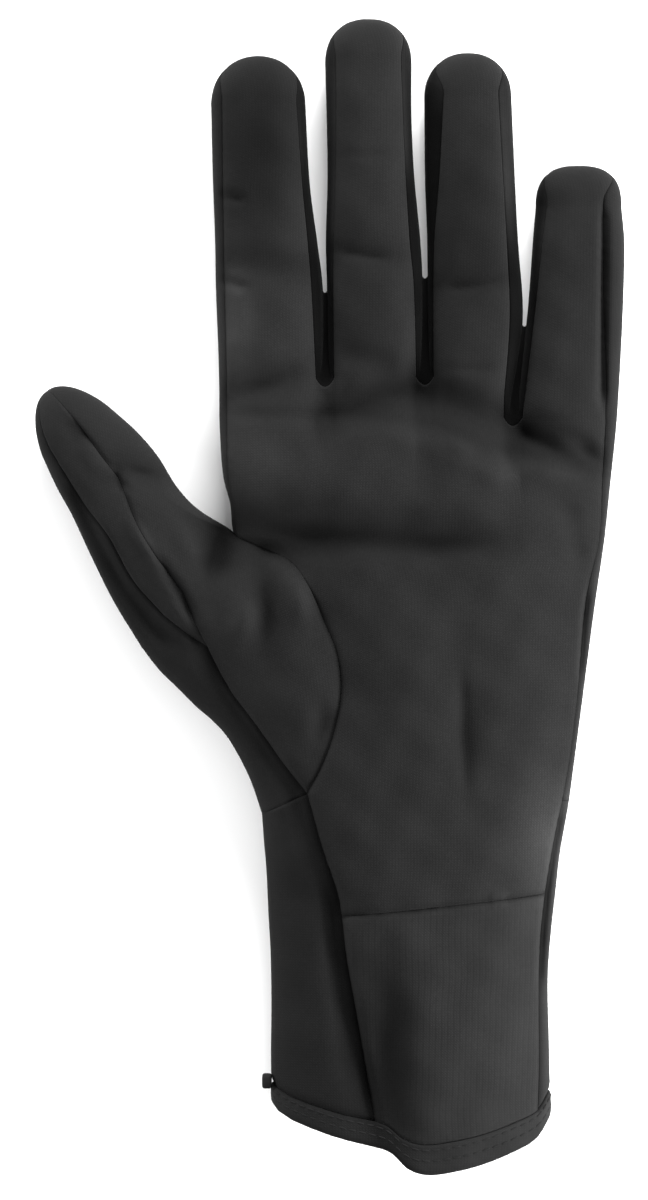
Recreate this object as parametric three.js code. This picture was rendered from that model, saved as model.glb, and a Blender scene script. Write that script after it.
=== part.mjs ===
// A left-hand glove of thin dark stretch cloth with a long cuff, lying palm up.
//
// Millimetres. X runs across the hand towards the little finger, Y towards the fingertips and Z up,
// away from the surface that the glove lies on. The thumb is on the -X side. The origin is at the
// middle of the footprint, on the surface.
//
// The whole glove is first worked out as one outer skin of four-sided cells. The skin follows rings:
// round each finger, round the thumb, round the hand and round the cuff. Each cell belongs to one cut
// piece of cloth. Every piece is then given its wall thickness, pulled back a little from its seams
// and closed round its edges, so it is a hollow-sided solid of its own.
import * as THREE from 'three';

// Driving dimensions.
const clothWall = 1.4;         // thickness of the cloth with its backing
const seamGap = 0.3;           // clear space between two pieces at a seam
const hemProud = 0.5;          // how far the turned hem stands out beyond the cuff
const sideLevel = 0.46;        // height of a finger's widest line, as a share of its thickness
const roundness = 2.5;         // power of the superellipse of a finger's section, 2 being an ellipse
const floorSink = 0.8;         // how far a round underside is pressed flat by the surface
const lowerSeamAngle = 50;     // where the lower seams run round a finger, in degrees below its side
const seamShoulder = 55;       // how far round the hand's edge the front seams lie, in degrees
const bumpFade = 0.74;         // share of the stretch below the fingers over which their forms die out
const hemShare = 0.885;        // where the hem starts, as a share of the cuff's length
const tipClosing = 67.5;       // how far over a rounded tip its side strips come to a point, in degrees

// How finely the skin is divided.
const cells = { finger: 4, side: 4, web: 2, fingerLength: 6, cap: 4, thumbUpper: 5, strip: 2 };
const bodyRows = { knuckles: 5, thumbBase: 8, wrist: 3, cuff: 5, hem: 1 };

// The fingers, from the thumb's side. Each row is a section across the finger: its place along the
// finger, its two outlines seen from the front, the two front seams and the thickness.
const fingers = [
  {
    name: 'index', frontRoot: [49.5, 50.5], underRoot: [69, 71.5], capLength: 11.4, capPower: 2.05,
    rows: [
      { y: 50, left: -26.0, right: -1.4, seamLeft: -24.4, seamRight: -3.3, top: 17.5 },
      { y: 72, left: -26.9, right: -1.7, seamLeft: -24.9, seamRight: -4.4, top: 16.5 },
      { y: 83, left: -27.1, right: -3.0, seamLeft: -25.1, seamRight: -5.3, top: 16.0 },
      { y: 97, left: -27.6, right: -4.8, seamLeft: -25.3, seamRight: -6.6, top: 15.5 },
      { y: 115.5, left: -28.1, right: -5.8, seamLeft: -25.5, seamRight: -7.9, top: 14.0 },
    ],
  },
  {
    name: 'middle', frontRoot: [50.5, 51], underRoot: [71.5, 75], capLength: 10.3, capPower: 2.2,
    rows: [
      { y: 50, left: -0.5, right: 21.6, seamLeft: 0.9, seamRight: 20.2, top: 17.5 },
      { y: 72, left: -0.7, right: 21.8, seamLeft: 0.7, seamRight: 19.6, top: 16.5 },
      { y: 83, left: -1.0, right: 21.3, seamLeft: 0.8, seamRight: 18.6, top: 16.0 },
      { y: 98, left: -0.6, right: 19.9, seamLeft: 1.2, seamRight: 17.7, top: 15.5 },
      { y: 112, left: -0.8, right: 19.2, seamLeft: 1.4, seamRight: 17.1, top: 15.0 },
      { y: 125.3, left: -1.2, right: 19.2, seamLeft: 1.3, seamRight: 16.6, top: 14.0 },
    ],
  },
  {
    name: 'ring', frontRoot: [51, 41.5], underRoot: [75, 63.5], capLength: 10.4, capPower: 2.1,
    rows: [
      { y: 46, left: 23.2, right: 42.8, seamLeft: 24.3, seamRight: 40.7, top: 17.5 },
      { y: 65, left: 23.0, right: 45.4, seamLeft: 24.1, seamRight: 42.0, top: 16.5 },
      { y: 83, left: 22.9, right: 44.3, seamLeft: 24.4, seamRight: 41.3, top: 16.0 },
      { y: 97, left: 22.4, right: 43.6, seamLeft: 25.5, seamRight: 40.5, top: 15.5 },
      { y: 117.2, left: 22.2, right: 42.8, seamLeft: 26.6, seamRight: 39.4, top: 14.0 },
    ],
  },
  {
    name: 'little', frontRoot: [41.5, 40], underRoot: [63.5, 61], capLength: 9.8, capPower: 2.6,
    rows: [
      { y: 40, left: 43.4, right: 67.6, seamLeft: 44.9, seamRight: 64.6, top: 16.5 },
      { y: 66, left: 46.5, right: 69.0, seamLeft: 48.0, seamRight: 64.0, top: 15.5 },
      { y: 83, left: 47.8, right: 69.4, seamLeft: 49.8, seamRight: 64.0, top: 15.0 },
      { y: 91.2, left: 48.5, right: 68.8, seamLeft: 50.9, seamRight: 64.0, top: 13.5 },
    ],
  },
];

// The hand's edges as rails, points [x, y, z] that a smooth curve runs through. On each side there
// are the front seam, the outline seen from the front, and the line where the underside lies down.
// The stretches are the knuckles (finger roots to the web of the thumb), the thumb's base (web to
// the lower end of its gusset seam), the wrist (down to the cuff's seam) and the cuff.
const leftRails = {
  knuckles: {
    seam: [[-24.6, 49.5, 14.8], [-24.5, 39, 15.5], [-24, 27, 16], [-22.8, 19, 15.5], [-22, 13.5, 14.5]],
    side: [[-26.5, 59, 8], [-26.2, 49.5, 8.5], [-26, 39, 9], [-25, 27, 9.5], [-23.5, 21.5, 9.5],
      [-23, 15, 9.5]],
    under: [[-23, 69, 0], [-22.5, 50, 0], [-22, 34, 0], [-21.5, 22.5, 0], [-21.5, 11, 0]],
  },
  wrist: {
    seam: [[-5.5, -46.5, 20.5], [-2, -59, 20.5], [1.5, -69.5, 20.5], [2.5, -75, 20.3]],
    side: [[-16, -51.5, 9.5], [-15.6, -57.5, 9.5], [-15, -64.5, 9.5], [-14.5, -75, 9.5]],
    under: [[-12, -52, 0], [-12, -57.5, 0], [-11.5, -64.5, 0], [-11, -75, 0]],
  },
  cuff: {
    seam: [[2.5, -75, 20.3], [3.5, -83.5, 20.2], [5.5, -94, 20], [8, -107, 19.8], [11.5, -125.5, 19.5]],
    side: [[-14.5, -75, 9.5], [-14, -83.5, 9.5], [-13.8, -95, 9.5], [-13.9, -107, 9.5], [-13.6, -117, 9.5]],
    under: [[-11, -75, 0], [-10.5, -90, 0], [-10.5, -105, 0], [-11, -117, 0]],
  },
};
const rightRails = {
  hand: {
    seam: [[64.6, 40, 13.5], [63.8, 27.5, 15], [63, 12.5, 16], [60.6, 2.5, 16.5], [59.6, -4.5, 16.5],
      [58.4, -19.5, 16], [56.4, -37, 15.5], [54.2, -49.5, 15.5], [52, -61, 15.5], [50.5, -70, 15.5]],
    side: [[68, 50, 8], [67.3, 40, 8.5], [66, 27, 9], [64.5, 13, 9.5], [63, 2.5, 9.5], [62, -4.5, 9.5],
      [60, -19.5, 9.5], [57.7, -37, 9.5], [56, -49.5, 9.5], [54, -61, 9.5], [53, -70, 9.5]],
    under: [[64.5, 61, 0], [63.8, 40, 0], [62, 20, 0], [59.5, 2.5, 0], [57, -19.5, 0], [54.5, -37, 0],
      [52.5, -49.5, 0], [50.5, -61, 0], [49.5, -70, 0]],
    // How far along each rail the four stretches begin and end.
    shares: { seam: [0, 0.28, 0.8, 1], side: [0, 0.34, 0.82, 1], under: [0, 0.4, 0.84, 1] },
  },
  cuff: {
    seam: [[50.5, -70, 15.5], [49.5, -78.5, 15.5], [49, -89.5, 15.5], [49, -105, 15.5], [48.5, -121, 15.5]],
    side: [[53, -70, 9.5], [52, -78.5, 9.5], [51.2, -89.5, 9.5], [51.5, -105, 9.5], [51.8, -121, 9.5]],
    under: [[49.5, -70, 0], [48.5, -80, 0], [47.8, -95, 0], [48, -121, 0]],
  },
};

// The height of the hand's front along its length, and the outline of the cuff's rim.
const handTop = [
  { y: -125, top: 20.5 }, { y: -95, top: 21.5 }, { y: -75, top: 22.5 }, { y: -50, top: 23.5 },
  { y: -20, top: 24.5 }, { y: 0, top: 24.2 }, { y: 15, top: 24 }, { y: 30, top: 23.5 }, { y: 45, top: 20 },
];
const rim = [
  { x: -15, y: -117.5 }, { x: -12.8, y: -120.8 }, { x: -9.5, y: -122.9 }, { x: -4, y: -125 },
  { x: 2.5, y: -127 }, { x: 9, y: -128.5 }, { x: 14, y: -130 }, { x: 18, y: -133.6 },
  { x: 22.5, y: -135 }, { x: 29, y: -134.3 }, { x: 35.7, y: -132.7 }, { x: 43, y: -130 },
  { x: 48.5, y: -127 }, { x: 52.5, y: -121.5 },
];

// The thumb's rails. The upper ones run from the start of its rounded tip to the web, the base ones
// from the web to the lower end of the gusset seam. A is the seam between the thumb's front and its
// side strip, and B the one between the strip and the thumb's back. They meet on the base.
const thumb = {
  capLength: 12.3, capPower: 2.3, capTaper: 0.3, topAtTip: 14, topAtWeb: 19.5, turnStart: 0.45, meeting: 0.25,
  upper: {
    outer: [[-67.7, 32.2], [-64.4, 25.1], [-61, 19], [-57, 10.5], [-51.2, -1.2], [-44.3, -12.5]],
    inner: [[-51.5, 43.7], [-45.6, 38.4], [-40.7, 32.7], [-36, 25.2], [-31.5, 20.4], [-23, 15]],
    seamA: [[-58, 38.5], [-53.5, 32.5], [-49, 26.5], [-45.5, 17.5], [-40.5, 9], [-34.5, 0.5]],
    seamB: [[-65.5, 33.5], [-61.5, 27], [-57.5, 20.5], [-52, 13.5], [-46.5, 3.5], [-39, -5]],
  },
  base: {
    outer: [[-44.3, -12.5, 9.5], [-40, -18, 9.5], [-36, -21.9, 9.5], [-31.4, -26.5, 9.5], [-28, -29.4, 9.5],
      [-24.6, -33, 9.5], [-21.6, -37.8, 9.5], [-18.8, -43.5, 9.5], [-16, -51.5, 9.5]],
    outerUnder: [[-41, -8.5, 0], [-37, -13.5, 0], [-29, -21, 0], [-20.5, -30, 0], [-15.5, -40.5, 0],
      [-12, -52, 0]],
    seamA: [[-34.5, 0.5, 18.5], [-31.5, -7, 18.5], [-28.5, -13, 18], [-25.5, -19, 17.5], [-22.5, -24, 17.5],
      [-19, -28.5, 18], [-15, -34, 18.5], [-11.5, -39, 19.2], [-5.5, -46.5, 20.5]],
    seamB: [[-39, -5, 15.5], [-33.5, -9.5, 17], [-28.5, -13, 18]],
    gusset: [[-22, 13.5, 14.5], [-16, 11, 16], [-9, 7.5, 19], [-5, 2, 20.5], [-1.5, -6, 21.5],
      [1.5, -13.5, 22], [2.5, -22.5, 22], [1, -31.5, 21.8], [-2, -40, 21.3], [-5.5, -46.5, 20.5]],
    underGusset: [[-21.5, 11, 0], [-13.5, 1, 0], [-8.5, -10.5, 0], [-6.5, -24.5, 0], [-8, -36.5, 0],
      [-10.5, -46, 0], [-12, -52, 0]],
    fullness: 2.2,
  },
};

// The broad folds that show in the cloth's form: the two ends, the half width and the depth, a
// negative depth being a ridge. Fine creases are left to the surface's finish.
const folds = [
  { name: 'palm crease', from: [-19, 15.5], to: [41, 11.5], reach: 5, depth: 2.0 },
  { name: 'below the index finger', from: [-22, 45], to: [-9, 51], reach: 4, depth: 0.9 },
  { name: 'below the middle finger', from: [2, 41], to: [19, 49], reach: 5, depth: 1.6 },
  { name: 'below the ring finger', from: [23, 47], to: [45, 36], reach: 5, depth: 1.6 },
  { name: 'below the little finger', from: [47, 38], to: [61, 31], reach: 4.5, depth: 1.4 },
  { name: 'heel fold', from: [31, -16], to: [31, -48], reach: 5, depth: 1.0 },
  { name: 'gusset valley', from: [-15.5, 5], to: [-13, -18], reach: 4, depth: 1.4 },
  { name: 'thumb crease', from: [-49, 29], to: [-41, 28], reach: 4, depth: 0.9 },
  { name: 'index crease', from: [-24, 77], to: [-7, 76], reach: 4, depth: 0.9 },
  { name: 'middle crease', from: [1, 80], to: [16, 79], reach: 4, depth: 0.9 },
  { name: 'ring crease', from: [25, 72], to: [42, 74], reach: 4, depth: 0.8 },
  { name: 'cuff fold', from: [13, -82], to: [14, -128], reach: 4.5, depth: 1.4 },
];

// The loop of tape sewn into the hem's seam, which sticks out as a small nub.
const nub = {
  inner: [-14.6, -114.4, 9.5], width: 3.4, height: 4.8, thickness: 1.4, corner: 0.9, bevel: 0.25,
};

const cloth = {
  palm: 0x333335, back: 0x1f1f21, side: 0x1a1a1c, thumb: 0x303032, cuff: 0x363638, hem: 0x242426,
};

// Small helpers.
const degrees = Math.PI / 180;
const mix = (a, b, t) => a + (b - a) * t;
const blend = (a, b, t) => a.map((value, i) => mix(value, b[i], t));
const plus = (a, b, scale = 1) => a.map((value, i) => value + b[i] * scale);
const minus = (a, b) => plus(a, b, -1);
const ease = (t) => {
  const s = Math.min(1, Math.max(0, t));
  return s * s * (3 - 2 * s);
};
const steps = (count) => Array.from({ length: count + 1 }, (_, i) => i / count);

// A value read from a table, with a smooth curve between its rows.
function along(rows, key, column) {
  const sorted = [...rows].sort((a, b) => a[key] - b[key]);
  const last = sorted.length - 1;
  const slope = (i) => {
    const before = sorted[Math.max(0, i - 1)];
    const after = sorted[Math.min(last, i + 1)];
    return (after[column] - before[column]) / (after[key] - before[key]);
  };
  return (place) => {
    const at = Math.min(sorted[last][key], Math.max(sorted[0][key], place));
    let i = 0;
    while (i < last - 1 && at > sorted[i + 1][key]) i += 1;
    const length = sorted[i + 1][key] - sorted[i][key];
    const t = (at - sorted[i][key]) / length;
    const start = sorted[i][column];
    const end = sorted[i + 1][column];
    const bend = t * (1 - t) * length;
    return mix(start, end, ease(t)) + bend * ((1 - t) * slope(i) - t * slope(i + 1));
  };
}

// A smooth curve through points, read by the share of its length.
function rail(points) {
  const places = points.map(([x, y, z = 0]) => new THREE.Vector3(x, y, z));
  const curve = new THREE.CatmullRomCurve3(places, false, 'centripetal');
  return (share) => curve.getPointAt(Math.min(1, Math.max(0, share))).toArray();
}
const rails = (set) => Object.fromEntries(Object.entries(set)
  .filter(([, points]) => Array.isArray(points)).map(([name, points]) => [name, rail(points)]));

// The hand's rounded edge: from the front seam (t = 0) over the outline (t = 0.5) to the underside
// (t = 1). The upper part is an arc of an ellipse up to the seam's shoulder, the lower one a quarter.
function roll(seam, side, under, t) {
  const upper = t <= 0.5;
  const angle = upper ? (1 - 2 * t) * seamShoulder : (2 * t - 1) * 90;
  const full = upper ? seamShoulder : 90;
  const inwards = (1 - Math.cos(angle * degrees)) / (1 - Math.cos(full * degrees));
  const away = Math.sin(angle * degrees) / Math.sin(full * degrees);
  const end = upper ? seam : under;
  return [mix(side[0], end[0], inwards), mix(side[1], end[1], inwards), mix(side[2], end[2], away)];
}

// A point of a superellipse at an angle from its side: [across, up], each between -1 and 1.
function superellipse(angle) {
  const power = 2 / roundness;
  const cosine = Math.cos(angle * degrees);
  const sine = Math.sin(angle * degrees);
  return [Math.sign(cosine) * Math.abs(cosine) ** power, Math.sign(sine) * Math.abs(sine) ** power];
}
const angleOf = (across) => {
  const within = Math.min(1, Math.max(-1, across));
  return Math.acos(Math.sign(within) * Math.abs(within) ** (roundness / 2)) / degrees;
};
const heightOf = (up, level, top) => (up >= 0
  ? level + (top - level) * up
  : Math.max(0, level + (level + floorSink) * up));

// The angles at which a ring's four faces begin and end, gathered to the sides by closing (0 to 1).
function faceAngle(face, t, seamLeft, seamRight, closing) {
  const left = 180 - (180 - seamLeft) * (1 - closing);
  const right = seamRight * (1 - closing);
  const lower = lowerSeamAngle * (1 - closing);
  if (face === 'front') return mix(left, right, t);
  if (face === 'right') return t < 0.5 ? mix(right, 0, 2 * t) : mix(0, -lower, 2 * t - 1);
  if (face === 'under') return mix(-lower, lower - 180, t);
  return t < 0.5 ? mix(180 + lower, 180, 2 * t) : mix(180, left, 2 * t - 1);
}

// A finger's skin. It runs from its root (length 0) to the start of the rounded tip (length 1), and
// over the tip by an angle from 0 to 90 degrees.
function fingerSkin(finger, index) {
  const read = Object.fromEntries(['left', 'right', 'seamLeft', 'seamRight', 'top']
    .map((column) => [column, along(finger.rows, 'y', column)]));
  const capStart = finger.rows[finger.rows.length - 1].y;
  const slotOn = { left: index > 0, right: index < fingers.length - 1 };
  const slant = (side, t) => (slotOn[side] ? Math.min(1, 2 * t) ** 3 : t);
  const rootOf = (face, t) => {
    const [frontLeft, frontRight] = finger.frontRoot;
    const [underLeft, underRight] = finger.underRoot;
    if (face === 'front') return mix(frontLeft, frontRight, t);
    if (face === 'right') return mix(frontRight, underRight, slant('right', t));
    if (face === 'under') return mix(underRight, underLeft, t);
    return mix(frontLeft, underLeft, slant('left', 1 - t));
  };
  return (face, t, length, capAngle = 0) => {
    const y = mix(rootOf(face, t), capStart, length);
    const centre = (read.left(y) + read.right(y)) / 2;
    const half = (read.right(y) - read.left(y)) / 2;
    const shrink = Math.cos(capAngle * degrees) ** (2 / finger.capPower);
    const beyond = finger.capLength * Math.sin(capAngle * degrees) ** (2 / finger.capPower);
    const seams = [read.seamLeft(y), read.seamRight(y)].map((x) => angleOf((x - centre) / half));
    const [across, up] = superellipse(faceAngle(face, t, seams[0], seams[1], ease(capAngle / tipClosing)));
    const top = read.top(y);
    return [centre + half * shrink * across, y + beyond, heightOf(up * shrink, top * sideLevel, top)];
  };
}
const fingerSkins = fingers.map(fingerSkin);

// The web between two fingers, from the front (v = 0) to the underside (v = 1): h crosses from the
// left finger to the right one, and the cloth sags towards the hand between them.
function webPoint(index, h, v) {
  const start = fingerSkins[index]('right', v, 0);
  const end = fingerSkins[index + 1]('left', 1 - v, 0);
  const sag = 0.45 * Math.hypot(end[0] - start[0], end[1] - start[1]);
  return plus(blend(start, end, h), [0, -sag * (1 - (2 * h - 1) ** 2), 0]);
}

// The row of points where the fingers join the hand, from the left to the right, on one face.
function rootRow(face) {
  const row = [];
  fingers.forEach((finger, i) => {
    for (const t of steps(cells.finger)) row.push(fingerSkins[i](face, face === 'front' ? t : 1 - t, 0));
    if (i === fingers.length - 1) return;
    for (const h of steps(cells.web).slice(1, -1)) row.push(webPoint(i, h, face === 'front' ? 0 : 1));
  });
  return row;
}
const roots = { front: rootRow('front'), under: rootRow('under') };

// The hand and cuff. A station runs from 0 at the finger roots over 1 at the web of the thumb, 2 at
// the gusset's lower end and 3 at the cuff's seam to 4 at the rim.
const left = {
  knuckles: rails(leftRails.knuckles), wrist: rails(leftRails.wrist), cuff: rails(leftRails.cuff),
};
const right = { hand: rails(rightRails.hand), cuff: rails(rightRails.cuff) };
const base = rails(thumb.base);
const topAt = along(handTop, 'y', 'top');
const rimAt = along(rim, 'x', 'y');

function leftEdge(line, station) {
  if (station <= 1) return left.knuckles[line](station);
  if (station <= 2 && line === 'seam') return base.gusset(station - 1);
  if (station <= 2 && line === 'under') return base.underGusset(station - 1);
  return station <= 3 ? left.wrist[line](station - 2) : left.cuff[line](station - 3);
}
function rightEdge(line, station) {
  if (station > 3) return right.cuff[line](station - 3);
  const shares = rightRails.hand.shares[line];
  const stretch = Math.min(2, Math.floor(station));
  return right.hand[line](mix(shares[stretch], shares[stretch + 1], station - stretch));
}

// One point of the hand's plain section, before the fingers' forms are added.
function plainSection(face, t, station) {
  if (face === 'right' || face === 'left') {
    const edge = face === 'right' ? rightEdge : leftEdge;
    const across = face === 'right' ? t : 1 - t;
    return roll(edge('seam', station), edge('side', station), edge('under', station), across);
  }
  const line = face === 'front' ? 'seam' : 'under';
  const start = leftEdge(line, station);
  const end = rightEdge(line, station);
  const point = blend(start, end, t);
  if (face === 'under') return point;
  const middle = blend(start, end, 0.5);
  const crown = topAt(middle[1]) - middle[2];
  return plus(point, [0, 0, crown * (1 - Math.abs(2 * t - 1) ** 2.6)]);
}

// The hand's skin: at the fingers it takes their own row of points, and what is left of their form
// dies out below them. The cuff's length follows its rim.
function handPoint(face, t, station, column) {
  const point = plainSection(face, t, Math.min(station, 3));
  if (station > 3) {
    const low = plainSection(face, t, station);
    const rimY = rimAt(plainSection(face, t, 4)[0]);
    return [low[0], mix(point[1], rimY, station - 3), low[2]];
  }
  if (station >= bumpFade) return point;
  const fade = ease(1 - station / bumpFade);
  let start = null;
  if (face === 'front') start = roots.front[column];
  if (face === 'under') start = roots.under[column];
  if (face === 'right') start = fingerSkins[fingers.length - 1]('right', t, 0);
  if (face === 'left') start = fingerSkins[0]('left', t, 0);
  return plus(point, minus(start, plainSection(face, t, 0)), fade);
}

// The thumb above its web: a ring across it at a share of its length, at an angle round the ring from
// its outer side. Towards the web the ring is drawn over to the web's own row, by what they differ.
const upper = rails(thumb.upper);
function thumbRing(share) {
  const outer = upper.outer(share);
  const across = minus(upper.inner(share), outer);
  const reach = Math.hypot(across[0], across[1]) / 2;
  const direction = across.map((value) => value / (2 * reach));
  const top = mix(thumb.topAtTip, thumb.topAtWeb, share);
  const seamAngle = (point) => {
    const offset = minus(point, outer);
    return angleOf(1 - (offset[0] * direction[0] + offset[1] * direction[1]) / reach);
  };
  const at = (angle) => {
    const [inwards, up] = superellipse(angle);
    const flat = plus(outer, direction, reach * (1 - inwards));
    return [flat[0], flat[1], heightOf(up, top * sideLevel, top)];
  };
  return { at, angleA: seamAngle(upper.seamA(share)), angleB: seamAngle(upper.seamB(share)) };
}
function thumbAngle(face, t, ring) {
  const inner = 180 - lowerSeamAngle;
  if (face === 'front') return mix(ring.angleA, inner, t);
  if (face === 'inner') return t < 0.5 ? mix(inner, 180, 2 * t) : mix(180, 180 + lowerSeamAngle, 2 * t - 1);
  if (face === 'under') return mix(180 + lowerSeamAngle, 360 - lowerSeamAngle, t);
  if (face === 'outer') return t < 0.5 ? mix(-lowerSeamAngle, 0, 2 * t) : mix(0, ring.angleB, 2 * t - 1);
  return mix(ring.angleB, ring.angleA, t);
}

// The thumb's base, which opens into the hand along the gusset seam.
function baseSeamB(share) {
  if (share >= thumb.meeting) return base.seamA(share);
  const meet = base.seamA(thumb.meeting);
  const drift = minus(meet, base.seamB(1));
  return plus(base.seamB(share / thumb.meeting), drift, share / thumb.meeting);
}
function basePoint(face, t, share) {
  const outer = base.outer(share);
  if (face === 'under') return blend(base.underGusset(share), base.outerUnder(share), t);
  if (face === 'outer') return roll(baseSeamB(share), outer, base.outerUnder(share), 1 - t);
  if (face === 'strip') return blend(baseSeamB(share), base.seamA(share), t);
  if (face === 'inner') return plainSection('left', 1 - t, 1);
  const bulge = thumb.base.fullness * 4 * t * (1 - t) * ease(share * 3) * ease((1 - share) * 3);
  return plus(blend(base.seamA(share), base.gusset(share), t), [0, 0, bulge]);
}
function ownThumbPoint(face, t, share) {
  const ring = thumbRing(share);
  return ring.at(thumbAngle(face, t, ring));
}
function thumbPoint(face, t, share) {
  const turn = ease((share - thumb.turnStart) / (1 - thumb.turnStart));
  return plus(ownThumbPoint(face, t, share), minus(basePoint(face, t, 0), ownThumbPoint(face, t, 1)), turn);
}
function thumbTipPoint(face, t, capAngle) {
  const centre = blend(upper.outer(0), upper.inner(0), 0.5);
  const across = minus(upper.inner(0), upper.outer(0));
  const length = Math.hypot(across[0], across[1]);
  const forwards = [-across[1] / length, across[0] / length, 0];
  const level = thumb.topAtTip * sideLevel;
  const reached = Math.sin(capAngle * degrees) ** (2 / thumb.capPower);
  const shrink = Math.cos(capAngle * degrees) ** (2 / thumb.capPower) * (1 - thumb.capTaper * reached);
  const middle = [centre[0], centre[1], level];
  return plus(blend(middle, thumbPoint(face, t, 0), shrink), forwards, thumb.capLength * reached);
}

// The skin as a list of cells. Points that fall together are one point.
const skin = { points: [], cells: [], known: new Map() };
function skinPoint(point) {
  const key = point.map((value) => Math.round(value * 1e4)).join(' ');
  if (!skin.known.has(key)) {
    skin.known.set(key, skin.points.length);
    skin.points.push(point);
  }
  return skin.known.get(key);
}
// Adds a grid of points, rows running down the glove and columns round the ring, as cells of a piece.
function addSheet(grid, piece) {
  const ids = grid.map((row) => row.map(skinPoint));
  for (let r = 0; r + 1 < ids.length; r += 1) {
    for (let c = 0; c + 1 < ids[r].length; c += 1) {
      const corners = [ids[r][c], ids[r + 1][c], ids[r + 1][c + 1], ids[r][c + 1]];
      const loop = corners.filter((id, i) => id !== corners[(i + 3) % 4]);
      if (new Set(loop).size >= 3) skin.cells.push({ loop, piece });
    }
  }
}

// The folds push the front of the skin down, and less so towards the glove's sides.
function foldDepth([x, y]) {
  let depth = 0;
  for (const fold of folds) {
    const run = [fold.to[0] - fold.from[0], fold.to[1] - fold.from[1]];
    const square = run[0] ** 2 + run[1] ** 2;
    const share = ((x - fold.from[0]) * run[0] + (y - fold.from[1]) * run[1]) / square;
    const nearest = Math.min(1, Math.max(0, share));
    const distance = Math.hypot(x - fold.from[0] - nearest * run[0], y - fold.from[1] - nearest * run[1]);
    depth += fold.depth * Math.exp(-((distance / fold.reach) ** 2));
  }
  return depth;
}
const folded = (point) => [point[0], point[1], point[2] - foldDepth(point) * ease((point[2] - 10) / 6)];

function addFingers() {
  const fourchettes = ['fourchette_index_middle', 'fourchette_middle_ring', 'fourchette_ring_little'];
  const lengths = [
    ...steps(cells.cap).reverse().slice(0, -1).map((share) => ({ length: 1, cap: 90 * share })),
    ...steps(cells.fingerLength).reverse().map((length) => ({ length, cap: 0 })),
  ];
  fingers.forEach((finger, i) => {
    const pieces = {
      front: 'palm_panel',
      right: fourchettes[i] ?? 'back_panel',
      under: 'back_panel',
      left: i > 0 ? fourchettes[i - 1] : 'back_panel',
    };
    for (const [face, piece] of Object.entries(pieces)) {
      const across = steps(face === 'front' || face === 'under' ? cells.finger : cells.side);
      const row = ({ length, cap }) => across.map((t) => folded(fingerSkins[i](face, t, length, cap)));
      addSheet(lengths.map(row), piece);
    }
    if (i === fingers.length - 1) return;
    const web = steps(cells.web).map((h) => steps(cells.side).map((v) => folded(webPoint(i, h, v))));
    addSheet(web, fourchettes[i]);
  });
}

function addHand() {
  const stations = (from, count) => steps(count).map((share) => from + share);
  const cuffStations = steps(bodyRows.cuff).map((share) => 3 + hemShare * share);
  const hemStations = steps(bodyRows.hem).map((share) => 3 + mix(hemShare, 1, share));
  const stretches = [
    { rows: stations(0, bodyRows.knuckles), front: 'palm_panel', left: 'back_panel', under: 'back_panel' },
    { rows: stations(1, bodyRows.thumbBase), front: 'palm_panel', left: null, under: 'back_panel' },
    { rows: stations(2, bodyRows.wrist), front: 'palm_panel', left: 'cuff_back', under: 'cuff_back' },
    { rows: cuffStations, front: 'cuff_front', left: 'cuff_back', under: 'cuff_back' },
    { rows: hemStations, front: 'cuff_hem', left: 'cuff_hem', under: 'cuff_hem' },
  ];
  // The columns keep their places across the hand as they stand at the finger roots.
  const shareOf = (row) => row.map((point) => (point[0] - row[0][0]) / (row[row.length - 1][0] - row[0][0]));
  const shares = { front: shareOf(roots.front), under: shareOf(roots.under) };
  for (const { rows, front, left: leftPiece, under } of stretches) {
    const sheet = (face) => rows.map((station) => {
      if (face === 'front') return shares.front.map((t, c) => folded(handPoint(face, t, station, c)));
      if (face === 'under') return shares.under.map((t, c) => handPoint(face, t, station, c)).reverse();
      return steps(cells.side).map((t) => folded(handPoint(face, t, station, 0)));
    });
    addSheet(sheet('front'), front);
    addSheet(sheet('right'), under);
    addSheet(sheet('under'), under);
    if (leftPiece) addSheet(sheet('left'), leftPiece);
  }
}

function addThumb() {
  const faces = [
    { face: 'front', count: cells.finger, piece: 'thumb_front' },
    { face: 'inner', count: cells.side, piece: 'thumb_front' },
    { face: 'under', count: cells.finger, piece: 'thumb_back' },
    { face: 'outer', count: cells.side, piece: 'thumb_back' },
    { face: 'strip', count: cells.strip, piece: 'thumb_side_strip' },
  ];
  for (const { face, count, piece } of faces) {
    const tip = steps(cells.cap).reverse().slice(0, -1)
      .map((share) => steps(count).map((t) => folded(thumbTipPoint(face, t, 90 * share))));
    const lengthRow = (share) => steps(count).map((t) => folded(thumbPoint(face, t, share)));
    const length = steps(cells.thumbUpper).map(lengthRow);
    addSheet([...tip, ...length], piece);
    if (face === 'inner') continue;
    const baseRow = (share) => steps(count).map((t) => folded(basePoint(face, t, share)));
    addSheet(steps(bodyRows.thumbBase).map(baseRow), piece);
  }
}

// The outward direction at each point of the skin, from all the cells round it.
function skinNormals() {
  const normals = skin.points.map(() => new THREE.Vector3());
  for (const { loop } of skin.cells) {
    const corners = loop.map((id) => new THREE.Vector3(...skin.points[id]));
    for (let i = 0; i < loop.length; i += 1) {
      const before = corners[(i + loop.length - 1) % loop.length].clone().sub(corners[i]);
      const after = corners[(i + 1) % loop.length].clone().sub(corners[i]);
      const turn = after.clone().cross(before);
      if (turn.length() > 1e-9) normals[loop[i]].addScaledVector(turn.normalize(), after.angleTo(before));
    }
  }
  return normals.map((normal) => normal.normalize());
}

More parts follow.
